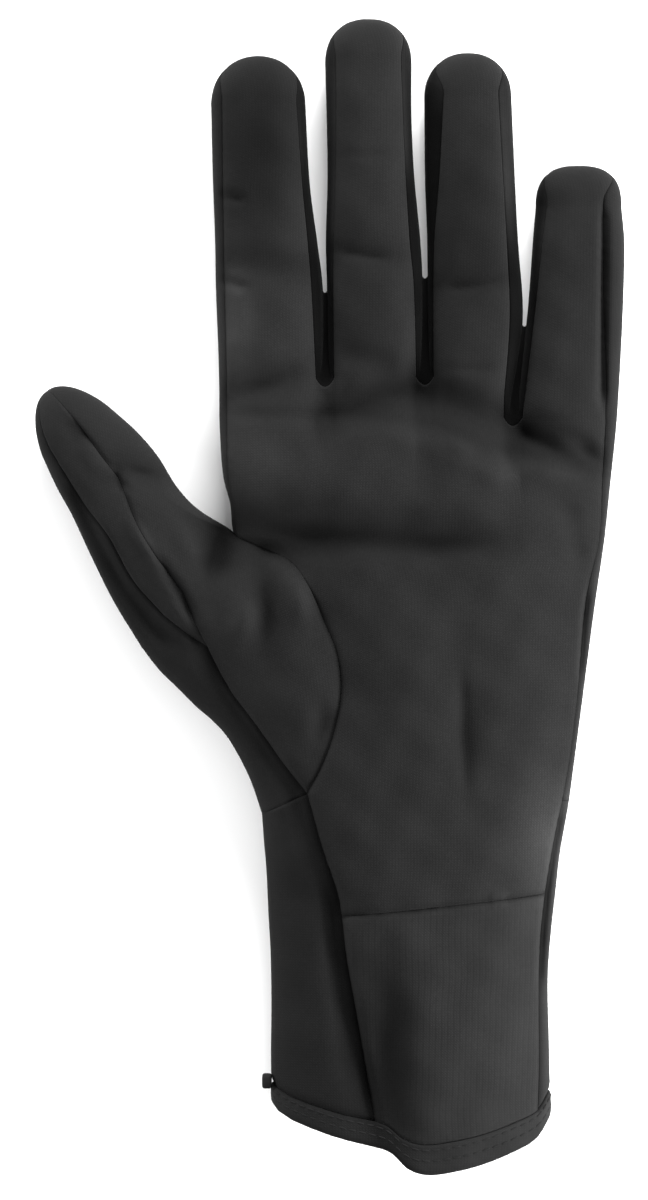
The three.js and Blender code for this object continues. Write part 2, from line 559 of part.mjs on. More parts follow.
// The piece's cells, the directed edges round its border, and how far each border point moves back
// from the seam: along the bisector of its two edges, so that the gap keeps its width at a corner.
function seamSetback(loops) {
  const used = new Set();
  for (const loop of loops) loop.forEach((id, i) => used.add(`${id} ${loop[(i + 1) % loop.length]}`));
  const border = [];
  const pulls = new Map();
  for (const loop of loops) {
    const [a, b, c] = loop.map((id) => new THREE.Vector3(...skin.points[id]));
    const outwards = b.clone().sub(a).cross(c.clone().sub(a)).normalize();
    loop.forEach((id, i) => {
      const next = loop[(i + 1) % loop.length];
      if (used.has(`${next} ${id}`)) return;
      border.push([id, next]);
      const run = new THREE.Vector3(...skin.points[next]);
      run.sub(new THREE.Vector3(...skin.points[id])).normalize();
      const inwards = outwards.clone().cross(run);
      for (const end of [id, next]) pulls.set(end, [...(pulls.get(end) ?? []), inwards]);
    });
  }
  const shifts = new Map();
  for (const [id, list] of pulls) {
    const bisector = list.reduce((sum, pull) => sum.add(pull), new THREE.Vector3()).normalize();
    const sharpness = Math.min(...list.map((pull) => pull.dot(bisector)));
    shifts.set(id, bisector.multiplyScalar(seamGap / 2 / Math.max(0.2, sharpness)));
  }
  return { border, shifts };
}

// A closed solid for one piece: its outer cells, the same cells a wall further in, and its edges.
function pieceGeometry(piece, normals, proud) {
  const loops = skin.cells.filter((cell) => cell.piece === piece).map((cell) => cell.loop);
  const { border, shifts } = seamSetback(loops);
  const order = [...new Set(loops.flat())];
  const place = new Map(order.map((id, i) => [id, i]));
  const positions = [];
  for (const depth of [-proud, clothWall]) {
    for (const id of order) {
      const point = new THREE.Vector3(...skin.points[id]).add(shifts.get(id) ?? new THREE.Vector3());
      point.addScaledVector(normals[id], -depth);
      positions.push(point.x, point.y, Math.max(point.z, depth > 0 ? clothWall : 0));
    }
  }
  const inner = order.length;
  const triangles = [];
  for (const loop of loops) {
    const ids = loop.map((id) => place.get(id));
    for (let i = 1; i + 1 < ids.length; i += 1) {
      triangles.push(ids[0], ids[i], ids[i + 1]);
      triangles.push(ids[0] + inner, ids[i + 1] + inner, ids[i] + inner);
    }
  }
  for (const [from, to] of border) {
    const a = place.get(from);
    const b = place.get(to);
    triangles.push(b, a, a + inner, b, a + inner, b + inner);
  }
  const geometry = new THREE.BufferGeometry();
  geometry.setAttribute('position', new THREE.Float32BufferAttribute(positions, 3));
  geometry.setIndex(triangles);
  geometry.computeVertexNormals();
  return geometry;
}

function namedMesh(name, geometry, color) {
  const material = new THREE.MeshStandardMaterial({ color, roughness: 0.85, metalness: 0 });
  const mesh = new THREE.Mesh(geometry, material);
  mesh.name = name;
  return mesh;
}

// The end of tape in the hem's seam: a rounded tab that stands on the hem's left side.
function hemNub() {
  const halfWidth = nub.width / 2 - nub.bevel;
  const halfHeight = nub.height / 2 - nub.bevel;
  const outline = new THREE.Shape();
  for (const [side, up, start] of [[1, 1, 0], [-1, 1, 90], [-1, -1, 180], [1, -1, 270]]) {
    const centre = [side * (halfWidth - nub.corner), up * (halfHeight - nub.corner)];
    outline.absarc(...centre, nub.corner, start * degrees, (start + 90) * degrees, false);
  }
  const geometry = new THREE.ExtrudeGeometry(outline, {
    depth: nub.thickness - 2 * nub.bevel, curveSegments: 3,
    bevelThickness: nub.bevel, bevelSize: nub.bevel, bevelSegments: 1,
  });
  const tab = namedMesh('hem_nub', geometry, cloth.hem);
  tab.rotation.set(90 * degrees, 0, 90 * degrees, 'ZYX');
  tab.position.set(nub.inner[0] - nub.thickness + nub.bevel, nub.inner[1], nub.inner[2]);
  return tab;
}

addFingers();
addHand();
addThumb();
const normals = skinNormals();

const glove = new THREE.Group();
const pieces = [
  { name: 'palm_panel', color: cloth.palm },
  { name: 'back_panel', color: cloth.back },
  { name: 'fourchette_index_middle', color: cloth.side },
  { name: 'fourchette_middle_ring', color: cloth.side },
  { name: 'fourchette_ring_little', color: cloth.side },
  { name: 'thumb_front', color: cloth.thumb },
  { name: 'thumb_side_strip', color: cloth.side },
  { name: 'thumb_back', color: cloth.back },
  { name: 'cuff_front', color: cloth.cuff },
  { name: 'cuff_back', color: cloth.back },
  { name: 'cuff_hem', color: cloth.hem, proud: hemProud },
];
for (const { name, color, proud = 0 } of pieces) {
  glove.add(namedMesh(name, pieceGeometry(name, normals, proud), color));
}

glove.add(hemNub());

// The origin goes to the middle of the footprint.
const box = new THREE.Box3().setFromObject(glove);
const middle = box.getCenter(new THREE.Vector3());
glove.position.set(-middle.x, -middle.y, -box.min.z);

export default glove;
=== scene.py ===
# %% [markdown]
# # A left-hand glove of thin dark stretch cloth
#
# The glove lies palm up on a pale floor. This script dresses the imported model: every cut piece of cloth
# is made again as a fine surface in the place of its plain solid, with rolled seams, creases, a stitched
# hem and a knitted finish. The measures of the cloth's form are those of the model, so both have one shape.

import bpy
import numpy as np
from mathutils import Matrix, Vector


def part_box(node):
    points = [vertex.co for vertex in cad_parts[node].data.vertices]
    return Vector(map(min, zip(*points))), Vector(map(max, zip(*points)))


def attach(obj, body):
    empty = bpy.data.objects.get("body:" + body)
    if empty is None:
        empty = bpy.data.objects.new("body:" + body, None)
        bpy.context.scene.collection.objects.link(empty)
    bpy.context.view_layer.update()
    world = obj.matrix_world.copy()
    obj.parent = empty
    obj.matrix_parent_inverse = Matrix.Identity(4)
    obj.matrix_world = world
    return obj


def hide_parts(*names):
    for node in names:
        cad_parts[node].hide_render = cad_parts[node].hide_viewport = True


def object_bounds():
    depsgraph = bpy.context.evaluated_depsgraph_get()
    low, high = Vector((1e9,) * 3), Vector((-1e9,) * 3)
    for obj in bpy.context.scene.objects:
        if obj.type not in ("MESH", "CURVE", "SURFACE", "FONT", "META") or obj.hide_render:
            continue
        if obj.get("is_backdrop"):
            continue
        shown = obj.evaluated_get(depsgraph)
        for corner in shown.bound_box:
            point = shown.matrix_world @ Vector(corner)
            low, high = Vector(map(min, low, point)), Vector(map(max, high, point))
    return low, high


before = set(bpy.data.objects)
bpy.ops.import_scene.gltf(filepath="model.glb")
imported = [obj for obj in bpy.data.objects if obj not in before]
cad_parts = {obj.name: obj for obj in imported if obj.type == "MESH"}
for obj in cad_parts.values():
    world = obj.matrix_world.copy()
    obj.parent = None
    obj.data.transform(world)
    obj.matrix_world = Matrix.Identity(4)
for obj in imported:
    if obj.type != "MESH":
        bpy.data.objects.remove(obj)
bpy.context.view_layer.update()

# %% [markdown]
# ## Camera, floor and light
#
# The photo looks straight down on the palm. A long lens from about a metre keeps the fingers' sides from
# leaning, and the camera's middle is the photo's middle, so no shift is needed.
#
# The photo's background is plain white, and no shadow shows on it. A white floor under an even bright
# sky gives that. Three broad low lamps model the dark cloth: a strong one from the little finger's
# side and the cuff, a weaker one from the fingertips for the folds across the palm, and a weak one from
# the thumb's side, as both edges of the glove are lighter in the photo than its middle.

# %% Camera
photo_height = 1200
mm_per_pixel = 0.235
view_middle = np.array([-1.35, -1.70])
lens = 120
sensor = 36
level_seen = 10  # the height above the floor at which a pixel is mm_per_pixel wide
stands_above = photo_height * mm_per_pixel * lens / sensor


def put(name, data):
    """A new object in the scene."""
    made = bpy.data.objects.new(name, data)
    bpy.context.scene.collection.objects.link(made)
    return made


camera = put("camera", bpy.data.cameras.new("camera"))
camera.data.lens = lens
camera.data.sensor_width = sensor
camera.location = (*view_middle / 1000, (stands_above + level_seen) / 1000)
bpy.context.scene.camera = camera
print("the camera stands", round(stands_above), "mm above the palm")

# %% Colours and nodes
def linear(hex_colour):
    """An sRGB hex colour as linear red, green, blue and alpha."""
    parts = np.array([int(hex_colour[i:i + 2], 16) for i in (1, 3, 5)]) / 255
    low = parts <= 0.04045
    return (*np.where(low, parts / 12.92, ((parts + 0.055) / 1.055) ** 2.4), 1.0)


def node(tree, kind, inputs=None, **settings):
    """Adds a node with its settings, and gives each named input a value or a link."""
    made = tree.nodes.new(kind)
    for name, value in settings.items():
        setattr(made, name, value)
    for name, value in (inputs or {}).items():
        if isinstance(value, bpy.types.NodeSocket):
            tree.links.new(value, made.inputs[name])
        else:
            made.inputs[name].default_value = value
    return made


def new_material(name):
    """An empty node material, and its tree."""
    material = bpy.data.materials.new(name)
    material.use_nodes = True
    material.node_tree.nodes.clear()
    return material, material.node_tree


print("a middle grey of #808080 is", round(float(linear("#808080")[0]), 3), "in linear light")

# %% Floor
# Matt paper scatters the light evenly, so it shows no highlight and no fall of light towards its edge.
floor_material, tree = new_material("matt white paper")
paper = node(tree, "ShaderNodeBsdfPrincipled", {"Base Color": linear("#fafafa"), "Roughness": 0.95})
node(tree, "ShaderNodeOutputMaterial", {"Surface": paper.outputs[0]})
floor_half = 3.0
corners = np.array([[-1, -1, 0], [1, -1, 0], [1, 1, 0], [-1, 1, 0]]) * floor_half
floor_mesh = bpy.data.meshes.new("floor")
floor_mesh.from_pydata(corners.tolist(), [], [(0, 1, 2, 3)])
floor_mesh.materials.append(floor_material)
floor = put("floor", floor_mesh)
floor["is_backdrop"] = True
print("the floor is", 2 * floor_half, "m wide")

# %% Light
bpy.context.scene.view_settings.view_transform = "Standard"
sky_strength = 0.9
world = bpy.data.worlds.new("even sky")
world.use_nodes = True
world.node_tree.nodes.clear()
sky = node(world.node_tree, "ShaderNodeBackground", {"Color": (1, 1, 1, 1), "Strength": sky_strength})
node(world.node_tree, "ShaderNodeOutputWorld", {"Surface": sky.outputs[0]})
bpy.context.scene.world = world

lamp_width = 0.5
lamps = {  # where each square lamp stands, in metres, and its watts
    "side lamp": ((1.15, -0.45, 0.34), 78), "tip lamp": ((0.15, 1.2, 0.38), 50),
    "thumb lamp": ((-1.15, 0.25, 0.32), 20),
}
for name, (spot, watts) in lamps.items():
    lamp = put(name, bpy.data.lights.new(name, "AREA"))
    lamp.data.size = lamp_width
    lamp.data.energy = watts
    lamp.location = spot
    lamp.rotation_mode = "QUATERNION"
    lamp.rotation_quaternion = (lamp.location * -1).to_track_quat("-Z", "Y")
    print(name, watts, "W")

# %% [markdown]
# ## The glove's form
#
# A real glove is cut flat and sewn into tubes. Sculpting it by hand would lose its measures, and
# simulating it would lose the photo's outline. So its skin is worked out from short tables: sections
# across each finger, and smooth rails that run down the hand, the thumb and the cuff. Rings follow them,
# and each face of a ring belongs to one cut piece.

# %% Measures of the cloth, in millimetres and degrees
cloth_wall = 1.4
seam_gap = 0.06
hem_proud = 0.2
hem_share = 0.885  # where the hem starts, as a share of the cuff
outline_height = 9.5  # of the hand's edges, where a table gives none
side_level = 0.46  # a section is widest at this share of its height
roundness = 2.5  # the power of the fingers' superellipse: 2 is an ellipse, and more is boxier
crown_power = 2.6  # the same for the palm's arch from seam to seam
floor_sink = 0.8  # how far a section would reach below the floor, which presses it flat
lower_seam_angle = 50  # a side ends this far below its outline, and the underside begins
seam_shoulder = 55  # the hand's edge turns this far from its outline up to the front seam
slot_steepness = 3  # how suddenly the root of a finger's side drops between two fingers
web_sag = 0.45  # how deep a web hangs, as a share of its width
bump_fade = 0.74  # where the fingers' form has died out, as a share of the way to the thumb's web
tip_closing = 67.5  # how far over a fingertip its side faces have narrowed to a line
origin_shift = np.array([0.078, -0.356, 0.0])  # from the middle of the footprint to the tables' origin
print("cloth", cloth_wall, "mm thick with seam gaps of", seam_gap, "mm")

# %% The fingers: sections across each one, from its root to the start of its tip
def sections(*rows):
    """Names the columns of a finger's sections."""
    columns = ("y", "left", "right", "seam_left", "seam_right", "top")
    return {column: [row[i] for row in rows] for i, column in enumerate(columns)}


fingers = [
    {"front_root": (49.5, 50.5), "under_root": (69, 71.5), "cap_length": 11.4, "cap_power": 2.05,
     "rows": sections((50, -26.0, -1.4, -24.4, -3.3, 17.5),
                      (72, -26.9, -1.7, -24.9, -4.4, 16.5),
                      (83, -27.1, -3.0, -25.1, -5.3, 16.0),
                      (97, -27.6, -4.8, -25.3, -6.6, 15.5),
                      (115.5, -28.1, -5.8, -25.5, -7.9, 14.0))},
    {"front_root": (50.5, 51), "under_root": (71.5, 75), "cap_length": 10.3, "cap_power": 2.2,
     "rows": sections((50, -0.5, 21.6, 0.9, 20.2, 17.5),
                      (72, -0.7, 21.8, 0.7, 19.6, 16.5),
                      (83, -1.0, 21.3, 0.8, 18.6, 16.0),
                      (98, -0.6, 19.9, 1.2, 17.7, 15.5),
                      (112, -0.8, 19.2, 1.4, 17.1, 15.0),
                      (125.3, -1.2, 19.2, 1.3, 16.6, 14.0))},
    {"front_root": (51, 41.5), "under_root": (75, 63.5), "cap_length": 10.4, "cap_power": 2.1,
     "rows": sections((46, 23.2, 42.8, 24.3, 40.7, 17.5),
                      (65, 23.0, 45.4, 24.1, 42.0, 16.5),
                      (83, 22.9, 44.3, 24.4, 41.3, 16.0),
                      (97, 22.4, 43.6, 25.5, 40.5, 15.5),
                      (117.2, 22.2, 42.8, 26.6, 39.4, 14.0))},
    {"front_root": (41.5, 40), "under_root": (63.5, 61), "cap_length": 9.8, "cap_power": 2.6,
     "rows": sections((40, 43.4, 67.6, 44.9, 64.6, 16.5),
                      (66, 46.5, 69.0, 48.0, 64.0, 15.5),
                      (83, 47.8, 69.4, 49.8, 64.0, 15.0),
                      (91.2, 48.5, 68.8, 50.9, 64.0, 13.5))},
]

print("sections of the fingers:", [len(finger["rows"]["y"]) for finger in fingers])

# %% The hand's edges: front seam, outline and the line where the underside lies down, at height 0
left_rails = {
    "knuckles": {
        "seam": [(-24.6, 49.5, 14.8), (-24.5, 39, 15.5), (-24, 27, 16), (-22.8, 19, 15.5),
                 (-22, 13.5, 14.5)],
        "side": [(-26.5, 59, 8), (-26.2, 49.5, 8.5), (-26, 39, 9), (-25, 27), (-23.5, 21.5), (-23, 15)],
        "under": [(-23, 69), (-22.5, 50), (-22, 34), (-21.5, 22.5), (-21.5, 11)]},
    "wrist": {
        "seam": [(-5.5, -46.5, 20.5), (-2, -59, 20.5), (1.5, -69.5, 20.5), (2.5, -75, 20.3)],
        "side": [(-16, -51.5), (-15.6, -57.5), (-15, -64.5), (-14.5, -75)],
        "under": [(-12, -52), (-12, -57.5), (-11.5, -64.5), (-11, -75)]},
    "cuff": {
        "seam": [(2.5, -75, 20.3), (3.5, -83.5, 20.2), (5.5, -94, 20), (8, -107, 19.8),
                 (11.5, -125.5, 19.5)],
        "side": [(-14.5, -75), (-14, -83.5), (-13.8, -95), (-13.9, -107), (-13.6, -117)],
        "under": [(-11, -75), (-10.5, -90), (-10.5, -105), (-11, -117)]},
}
right_rails = {
    "hand": {
        "seam": [(64.6, 40, 13.5), (63.8, 27.5, 15), (63, 12.5, 16), (60.6, 2.5, 16.5), (59.6, -4.5, 16.5),
                 (58.4, -19.5, 16), (56.4, -37, 15.5), (54.2, -49.5, 15.5), (52, -61, 15.5),
                 (50.5, -70, 15.5)],
        "side": [(68, 50, 8), (67.3, 40, 8.5), (66, 27, 9), (64.5, 13), (63, 2.5), (62, -4.5), (60, -19.5),
                 (57.7, -37), (56, -49.5), (54, -61), (53, -70)],
        "under": [(64.5, 61), (63.8, 40), (62, 20), (59.5, 2.5), (57, -19.5), (54.5, -37), (52.5, -49.5),
                  (50.5, -61), (49.5, -70)]},
    "cuff": {
        "seam": [(50.5, -70, 15.5), (49.5, -78.5, 15.5), (49, -89.5, 15.5), (49, -105, 15.5),
                 (48.5, -121, 15.5)],
        "side": [(53, -70), (52, -78.5), (51.2, -89.5), (51.5, -105), (51.8, -121)],
        "under": [(49.5, -70), (48.5, -80), (47.8, -95), (48, -121)]},
}
right_shares = {"seam": (0, 0.28, 0.8, 1), "side": (0, 0.34, 0.82, 1), "under": (0, 0.4, 0.84, 1)}

print("stretches of the hand's edges:", len(left_rails), "on the left,", len(right_rails), "on the right")

# %% The front's height down the hand, and the rim of the cuff
hand_top = {"y": [-125, -95, -75, -50, -20, 0, 15, 30, 45],
            "top": [20.5, 21.5, 22.5, 23.5, 24.5, 24.2, 24, 23.5, 20]}
rim = {"x": [-15, -12.8, -9.5, -4, 2.5, 9, 14, 18, 22.5, 29, 35.7, 43, 48.5, 52.5],
       "y": [-117.5, -120.8, -122.9, -125, -127, -128.5, -130, -133.6, -135, -134.3, -132.7, -130, -127,
             -121.5]}

print("the palm is", max(hand_top["top"]), "mm high at most, and the cuff ends at y =", min(rim["y"]))

# %% The thumb: rails from its tip to the web, and on its base from the web to the gusset's lower end
thumb = {"cap_length": 12.3, "cap_power": 2.3, "cap_taper": 0.3, "top_at_tip": 14, "top_at_web": 19.5,
         "turn_start": 0.45, "meeting": 0.25, "fullness": 2.2, "run_in": 1 / 3}
thumb_upper = {
    "outer": [(-67.7, 32.2), (-64.4, 25.1), (-61, 19), (-57, 10.5), (-51.2, -1.2), (-44.3, -12.5)],
    "inner": [(-51.5, 43.7), (-45.6, 38.4), (-40.7, 32.7), (-36, 25.2), (-31.5, 20.4), (-23, 15)],
    "seam_a": [(-58, 38.5), (-53.5, 32.5), (-49, 26.5), (-45.5, 17.5), (-40.5, 9), (-34.5, 0.5)],
    "seam_b": [(-65.5, 33.5), (-61.5, 27), (-57.5, 20.5), (-52, 13.5), (-46.5, 3.5), (-39, -5)],
}
thumb_base = {
    "outer": [(-44.3, -12.5, 9.5), (-40, -18, 9.5), (-36, -21.9, 9.5), (-31.4, -26.5, 9.5),
              (-28, -29.4, 9.5), (-24.6, -33, 9.5), (-21.6, -37.8, 9.5), (-18.8, -43.5, 9.5),
              (-16, -51.5, 9.5)],
    "outer_under": [(-41, -8.5), (-37, -13.5), (-29, -21), (-20.5, -30), (-15.5, -40.5), (-12, -52)],
    "seam_a": [(-34.5, 0.5, 18.5), (-31.5, -7, 18.5), (-28.5, -13, 18), (-25.5, -19, 17.5),
               (-22.5, -24, 17.5), (-19, -28.5, 18), (-15, -34, 18.5), (-11.5, -39, 19.2),
               (-5.5, -46.5, 20.5)],
    "seam_b": [(-39, -5, 15.5), (-33.5, -9.5, 17), (-28.5, -13, 18)],
    "gusset": [(-22, 13.5, 14.5), (-16, 11, 16), (-9, 7.5, 19), (-5, 2, 20.5), (-1.5, -6, 21.5),
               (1.5, -13.5, 22), (2.5, -22.5, 22), (1, -31.5, 21.8), (-2, -40, 21.3), (-5.5, -46.5, 20.5)],
    "under_gusset": [(-21.5, 11), (-13.5, 1), (-8.5, -10.5), (-6.5, -24.5), (-8, -36.5), (-10.5, -46),
                     (-12, -52)],
}

print("rails of the thumb:", len(thumb_upper) + len(thumb_base))

# %% [markdown]
# ## From tables to smooth curves
#
# A table gives a value at a few places, and a rail a few points. Straight lines between them would show
# as corners in the cloth. Here both are joined by curves that keep one direction through every point.

# %% Helpers: mixing, tables and rails
def mix(a, b, t):
    """From a (t = 0) to b (t = 1) in a straight line."""
    return a + (b - a) * t


def ease(t):
    """Three t squared less two t cubed, which starts and ends level. Outside 0 to 1 it stays put."""
    s = np.clip(t, 0, 1)
    return s * s * (3 - 2 * s)


def place(*coordinates):
    """Points from separate arrays of x, y and z, which may have different shapes that fit together."""
    return np.stack(np.broadcast_arrays(*coordinates), -1).astype(float)


def bell(away, reach):
    """One in the middle, and round it e to the power of minus the square of the distance in reaches."""
    return np.exp(-(away / reach) ** 2)


def steps(grid, axis=0):
    """How far each point is from the next one along an axis."""
    return np.linalg.norm(np.diff(grid, axis=axis), axis=-1)


def travelled(line):
    """How far along a line each of its points is."""
    return np.concatenate([[0], np.cumsum(steps(line))])


def read_line(line, keys, at):
    """The points of a line at some places, where keys says how far along it its own points are."""
    return np.stack([np.interp(at, keys, line[:, i]) for i in range(3)], -1)


def along(table, key, column):
    """Reads a table between its rows. The slope at a row is that between its two neighbours."""
    keys = np.array(table[key], float)
    values = np.array(table[column], float)
    order = np.argsort(keys)
    keys, values = keys[order], values[order]
    last = len(keys) - 1
    before = np.maximum(np.arange(last + 1) - 1, 0)
    after = np.minimum(np.arange(last + 1) + 1, last)
    slope = (values[after] - values[before]) / (keys[after] - keys[before])

    def read(at):
        at = np.clip(at, keys[0], keys[-1])
        i = np.clip(np.searchsorted(keys, at) - 1, 0, last - 1)
        length = keys[i + 1] - keys[i]
        t = (at - keys[i]) / length
        bend = t * (1 - t) * length
        return mix(values[i], values[i + 1], ease(t)) + bend * ((1 - t) * slope[i] - t * slope[i + 1])
    return read


def rail(points, level=0.0, samples=40):
    """A centripetal Catmull-Rom curve through points, read by the share of its length."""
    p = np.array([(*point, level)[:3] for point in points], float)
    p = np.vstack([2 * p[0] - p[1], p, 2 * p[-1] - p[-2]])
    gap = np.sqrt(steps(p))
    a, b, c, d = p[:-3, None], p[1:-2, None], p[2:-1, None], p[3:, None]
    g0, g1, g2 = gap[:-2, None, None], gap[1:-1, None, None], gap[2:, None, None]
    start = g1 * ((b - a) / g0 - (c - a) / (g0 + g1) + (c - b) / g1)
    end = g1 * ((c - b) / g1 - (d - b) / (g1 + g2) + (d - c) / g2)
    t = np.linspace(0, 1, samples, endpoint=False)[None, :, None]
    curve = mix(b, c, ease(t)) + t * (1 - t) * ((1 - t) * start - t * end)
    line = np.vstack([curve.reshape(-1, 3), p[-2]])
    shares = travelled(line) / travelled(line)[-1]
    return lambda share: read_line(line, shares, share)


def rails(table):
    """Every row of a table of points as a rail."""
    return {name: rail(points, outline_height if name == "side" else 0) for name, points in table.items()}


print("half way down the thumb's outer rail:", np.round(rail(thumb_upper["outer"])(0.5)[:2], 1))

# %% Sections: the superellipse of a finger, and the hand's rounded edge
def superellipse(angle):
    """Across and up, each between -1 and 1, at an angle in degrees from the side."""
    power = 2 / roundness
    cosine, sine = np.cos(np.radians(angle)), np.sin(np.radians(angle))
    return np.sign(cosine) * np.abs(cosine) ** power, np.sign(sine) * np.abs(sine) ** power


def angle_of(across):
    """The angle in degrees at which the superellipse's upper half is at that place across."""
    within = np.clip(across, -1, 1)
    return np.degrees(np.arccos(np.sign(within) * np.abs(within) ** (roundness / 2)))


def height_of(up, level, top):
    """Between the side level and the top above it, and below it down to the floor, which flattens it."""
    return np.where(up >= 0, level + (top - level) * up, np.maximum(0, level + (level + floor_sink) * up))


def roll(seam, side, under, t):
    """The hand's edge: an arc of an ellipse from the seam (t = 0) to the outline (0.5), a quarter to 1."""
    upper = t <= 0.5
    full = np.radians(np.where(upper, seam_shoulder, 90))
    angle = np.abs(1 - 2 * t) * full
    inwards = (1 - np.cos(angle)) / (1 - np.cos(full))
    away = np.sin(angle) / np.sin(full)
    return mix(side, np.where(upper[..., None], seam, under), np.stack([inwards, inwards, away], -1))


def face_angle(face, t, seam_left, seam_right, closing):
    """The angle round a finger. At closing 1 the two side faces have narrowed to a line."""
    left = 180 - (180 - seam_left) * (1 - closing)
    right = seam_right * (1 - closing)
    lower = lower_seam_angle * (1 - closing)
    if face == "front":
        return mix(left, right, t)
    if face == "right":
        return np.where(t < 0.5, mix(right, 0, 2 * t), mix(0, -lower, 2 * t - 1))
    if face == "under":
        return mix(-lower, lower - 180, t)
    return np.where(t < 0.5, mix(180 + lower, 180, 2 * t), mix(180, left, 2 * t - 1))


print("a finger's section at 45 degrees, across and up:", np.round(superellipse(45), 2))

# %% [markdown]
# ## The skin, ring by ring
#
# Each function below gives a grid of points: one parameter runs down the glove and the other round it. A
# face's first column is the last column of the face before it, so neighbouring grids share their points
# and the whole skin closes. The columns stand closer together at a face's ends, where the seams are.

# %% How finely the skin is divided
cells = {"finger": 26, "side": 14, "web": 8, "finger_length": 76, "cap": 20, "thumb_upper": 62, "strip": 6}
body_rows = {"knuckles": 56, "thumb_base": 66, "wrist": 30, "cuff": 48, "hem": 10}
crowding = 0.5


def crowded(count):
    """Shares from 0 to 1, closer together near both ends: s - crowding sin(2 pi s) / (2 pi)."""
    s = np.linspace(0, 1, count + 1)
    return s - crowding * np.sin(2 * np.pi * s) / (2 * np.pi)


def columns_of(face):
    """Where a face's columns stand, as shares of its width."""
    counts = {"front": "finger", "under": "finger", "strip": "strip"}
    return crowded(cells[counts.get(face, "side")])


print("cells round a finger:", 2 * (cells["finger"] + cells["side"]))

# %% Fingers
last_finger = len(fingers) - 1
finger_tables = [{column: along(finger["rows"], "y", column) for column in finger["rows"] if column != "y"}
                 for finger in fingers]


def slot_share(index, side, t):
    """How far a side's root has dropped from the front to the underside: steeply between two fingers."""
    slotted = index > 0 if side == "left" else index < last_finger
    return np.minimum(1, 2 * t) ** slot_steepness if slotted else t


def finger_root(index, face, t):
    """The y at which a finger starts, on one face."""
    front_left, front_right = fingers[index]["front_root"]
    under_left, under_right = fingers[index]["under_root"]
    if face == "front":
        return mix(front_left, front_right, t)
    if face == "right":
        return mix(front_right, under_right, slot_share(index, "right", t))
    if face == "under":
        return mix(under_right, under_left, t)
    return mix(front_left, under_left, slot_share(index, "left", 1 - t))


def finger_point(index, face, t, length, cap=0.0):
    """A finger's skin, from its root (length 0) to its tip's start (1), then over the tip by an angle."""
    finger, read = fingers[index], finger_tables[index]
    y = mix(finger_root(index, face, t), finger["rows"]["y"][-1], length)
    centre = (read["left"](y) + read["right"](y)) / 2
    half = (read["right"](y) - read["left"](y)) / 2
    shrink = np.maximum(np.cos(np.radians(cap)), 0) ** (2 / finger["cap_power"])
    beyond = finger["cap_length"] * np.sin(np.radians(cap)) ** (2 / finger["cap_power"])
    seam_left = angle_of((read["seam_left"](y) - centre) / half)
    seam_right = angle_of((read["seam_right"](y) - centre) / half)
    across, up = superellipse(face_angle(face, t, seam_left, seam_right, ease(cap / tip_closing)))
    top = read["top"](y)
    return place(centre + half * shrink * across, y + beyond, height_of(up * shrink, top * side_level, top))


def web_point(index, h, v):
    """The web between two fingers: h crosses it, v goes from front to underside, and its middle sags."""
    start = finger_point(index, "right", v, 0.0)
    end = finger_point(index + 1, "left", 1 - v, 0.0)
    sag = web_sag * np.hypot(end[..., 0] - start[..., 0], end[..., 1] - start[..., 1])
    point = mix(start, end, np.asarray(h)[..., None])
    point[..., 1] -= sag * (1 - (2 * h - 1) ** 2)
    return point


def finger_root_row(face):
    """The row of points in which the fingers join the hand, from the left to the right."""
    row = []
    for index in range(len(fingers)):
        t = columns_of(face)
        row.append(finger_point(index, face, t if face == "front" else 1 - t, 0.0))
        if index < last_finger:
            across = np.linspace(0, 1, cells["web"] + 1)[1:-1]
            row.append(web_point(index, across, 0.0 if face == "front" else 1.0))
    return np.concatenate(row)


root_rows = {face: finger_root_row(face) for face in ("front", "under")}
print("points across the hand:", len(root_rows["front"]))

# %% Hand and cuff
left = {stretch: rails(table) for stretch, table in left_rails.items()}
right = {stretch: rails(table) for stretch, table in right_rails.items()}
base = rails(thumb_base)
top_at = along(hand_top, "y", "top")
rim_at = along(rim, "x", "y")


def left_edge(line, stretch, share):
    """The hand's left rail: knuckles (stretch 0), gusset (1), wrist (2) and cuff (3)."""
    if stretch == 1:
        return base["gusset" if line == "seam" else "under_gusset"](share)
    return left[{0: "knuckles", 2: "wrist", 3: "cuff"}[stretch]][line](share)


def right_edge(line, stretch, share):
    """The hand's right rail, one curve that the first three stretches share."""
    if stretch == 3:
        return right["cuff"][line](share)
    return right["hand"][line](mix(right_shares[line][stretch], right_shares[line][stretch + 1], share))


def plain_section(face, t, stretch, share):
    """The hand's section without the fingers' forms. The front's arch is 1 - |2t - 1| to a power."""
    if face in ("left", "right"):
        edge = left_edge if face == "left" else right_edge
        return roll(*(edge(line, stretch, share) for line in ("seam", "side", "under")),
                    t if face == "right" else 1 - t)
    line = "seam" if face == "front" else "under"
    start, end = left_edge(line, stretch, share), right_edge(line, stretch, share)
    point = mix(start, end, t[..., None])
    if face == "front":
        middle = mix(start, end, 0.5)
        point[..., 2] += (top_at(middle[..., 1]) - middle[..., 2]) * (1 - np.abs(2 * t - 1) ** crown_power)
    return point


def hand_point(face, t, stretch, share, start_row):
    """The hand's skin. Near the fingers, what is left of their form dies out with the distance."""
    if stretch == 3:
        low = plain_section(face, t, 3, share)
        seam_y = plain_section(face, t, 2, np.ones_like(share))[..., 1]
        rim_y = rim_at(plain_section(face, t, 3, np.ones_like(share))[..., 0])
        return place(low[..., 0], mix(seam_y, rim_y, share), low[..., 2])
    point = plain_section(face, t, stretch, share)
    if stretch == 0:
        fade = ease(1 - share / bump_fade)[..., None]
        point = point + fade * (start_row - plain_section(face, t, 0, np.zeros_like(share)))
    return point


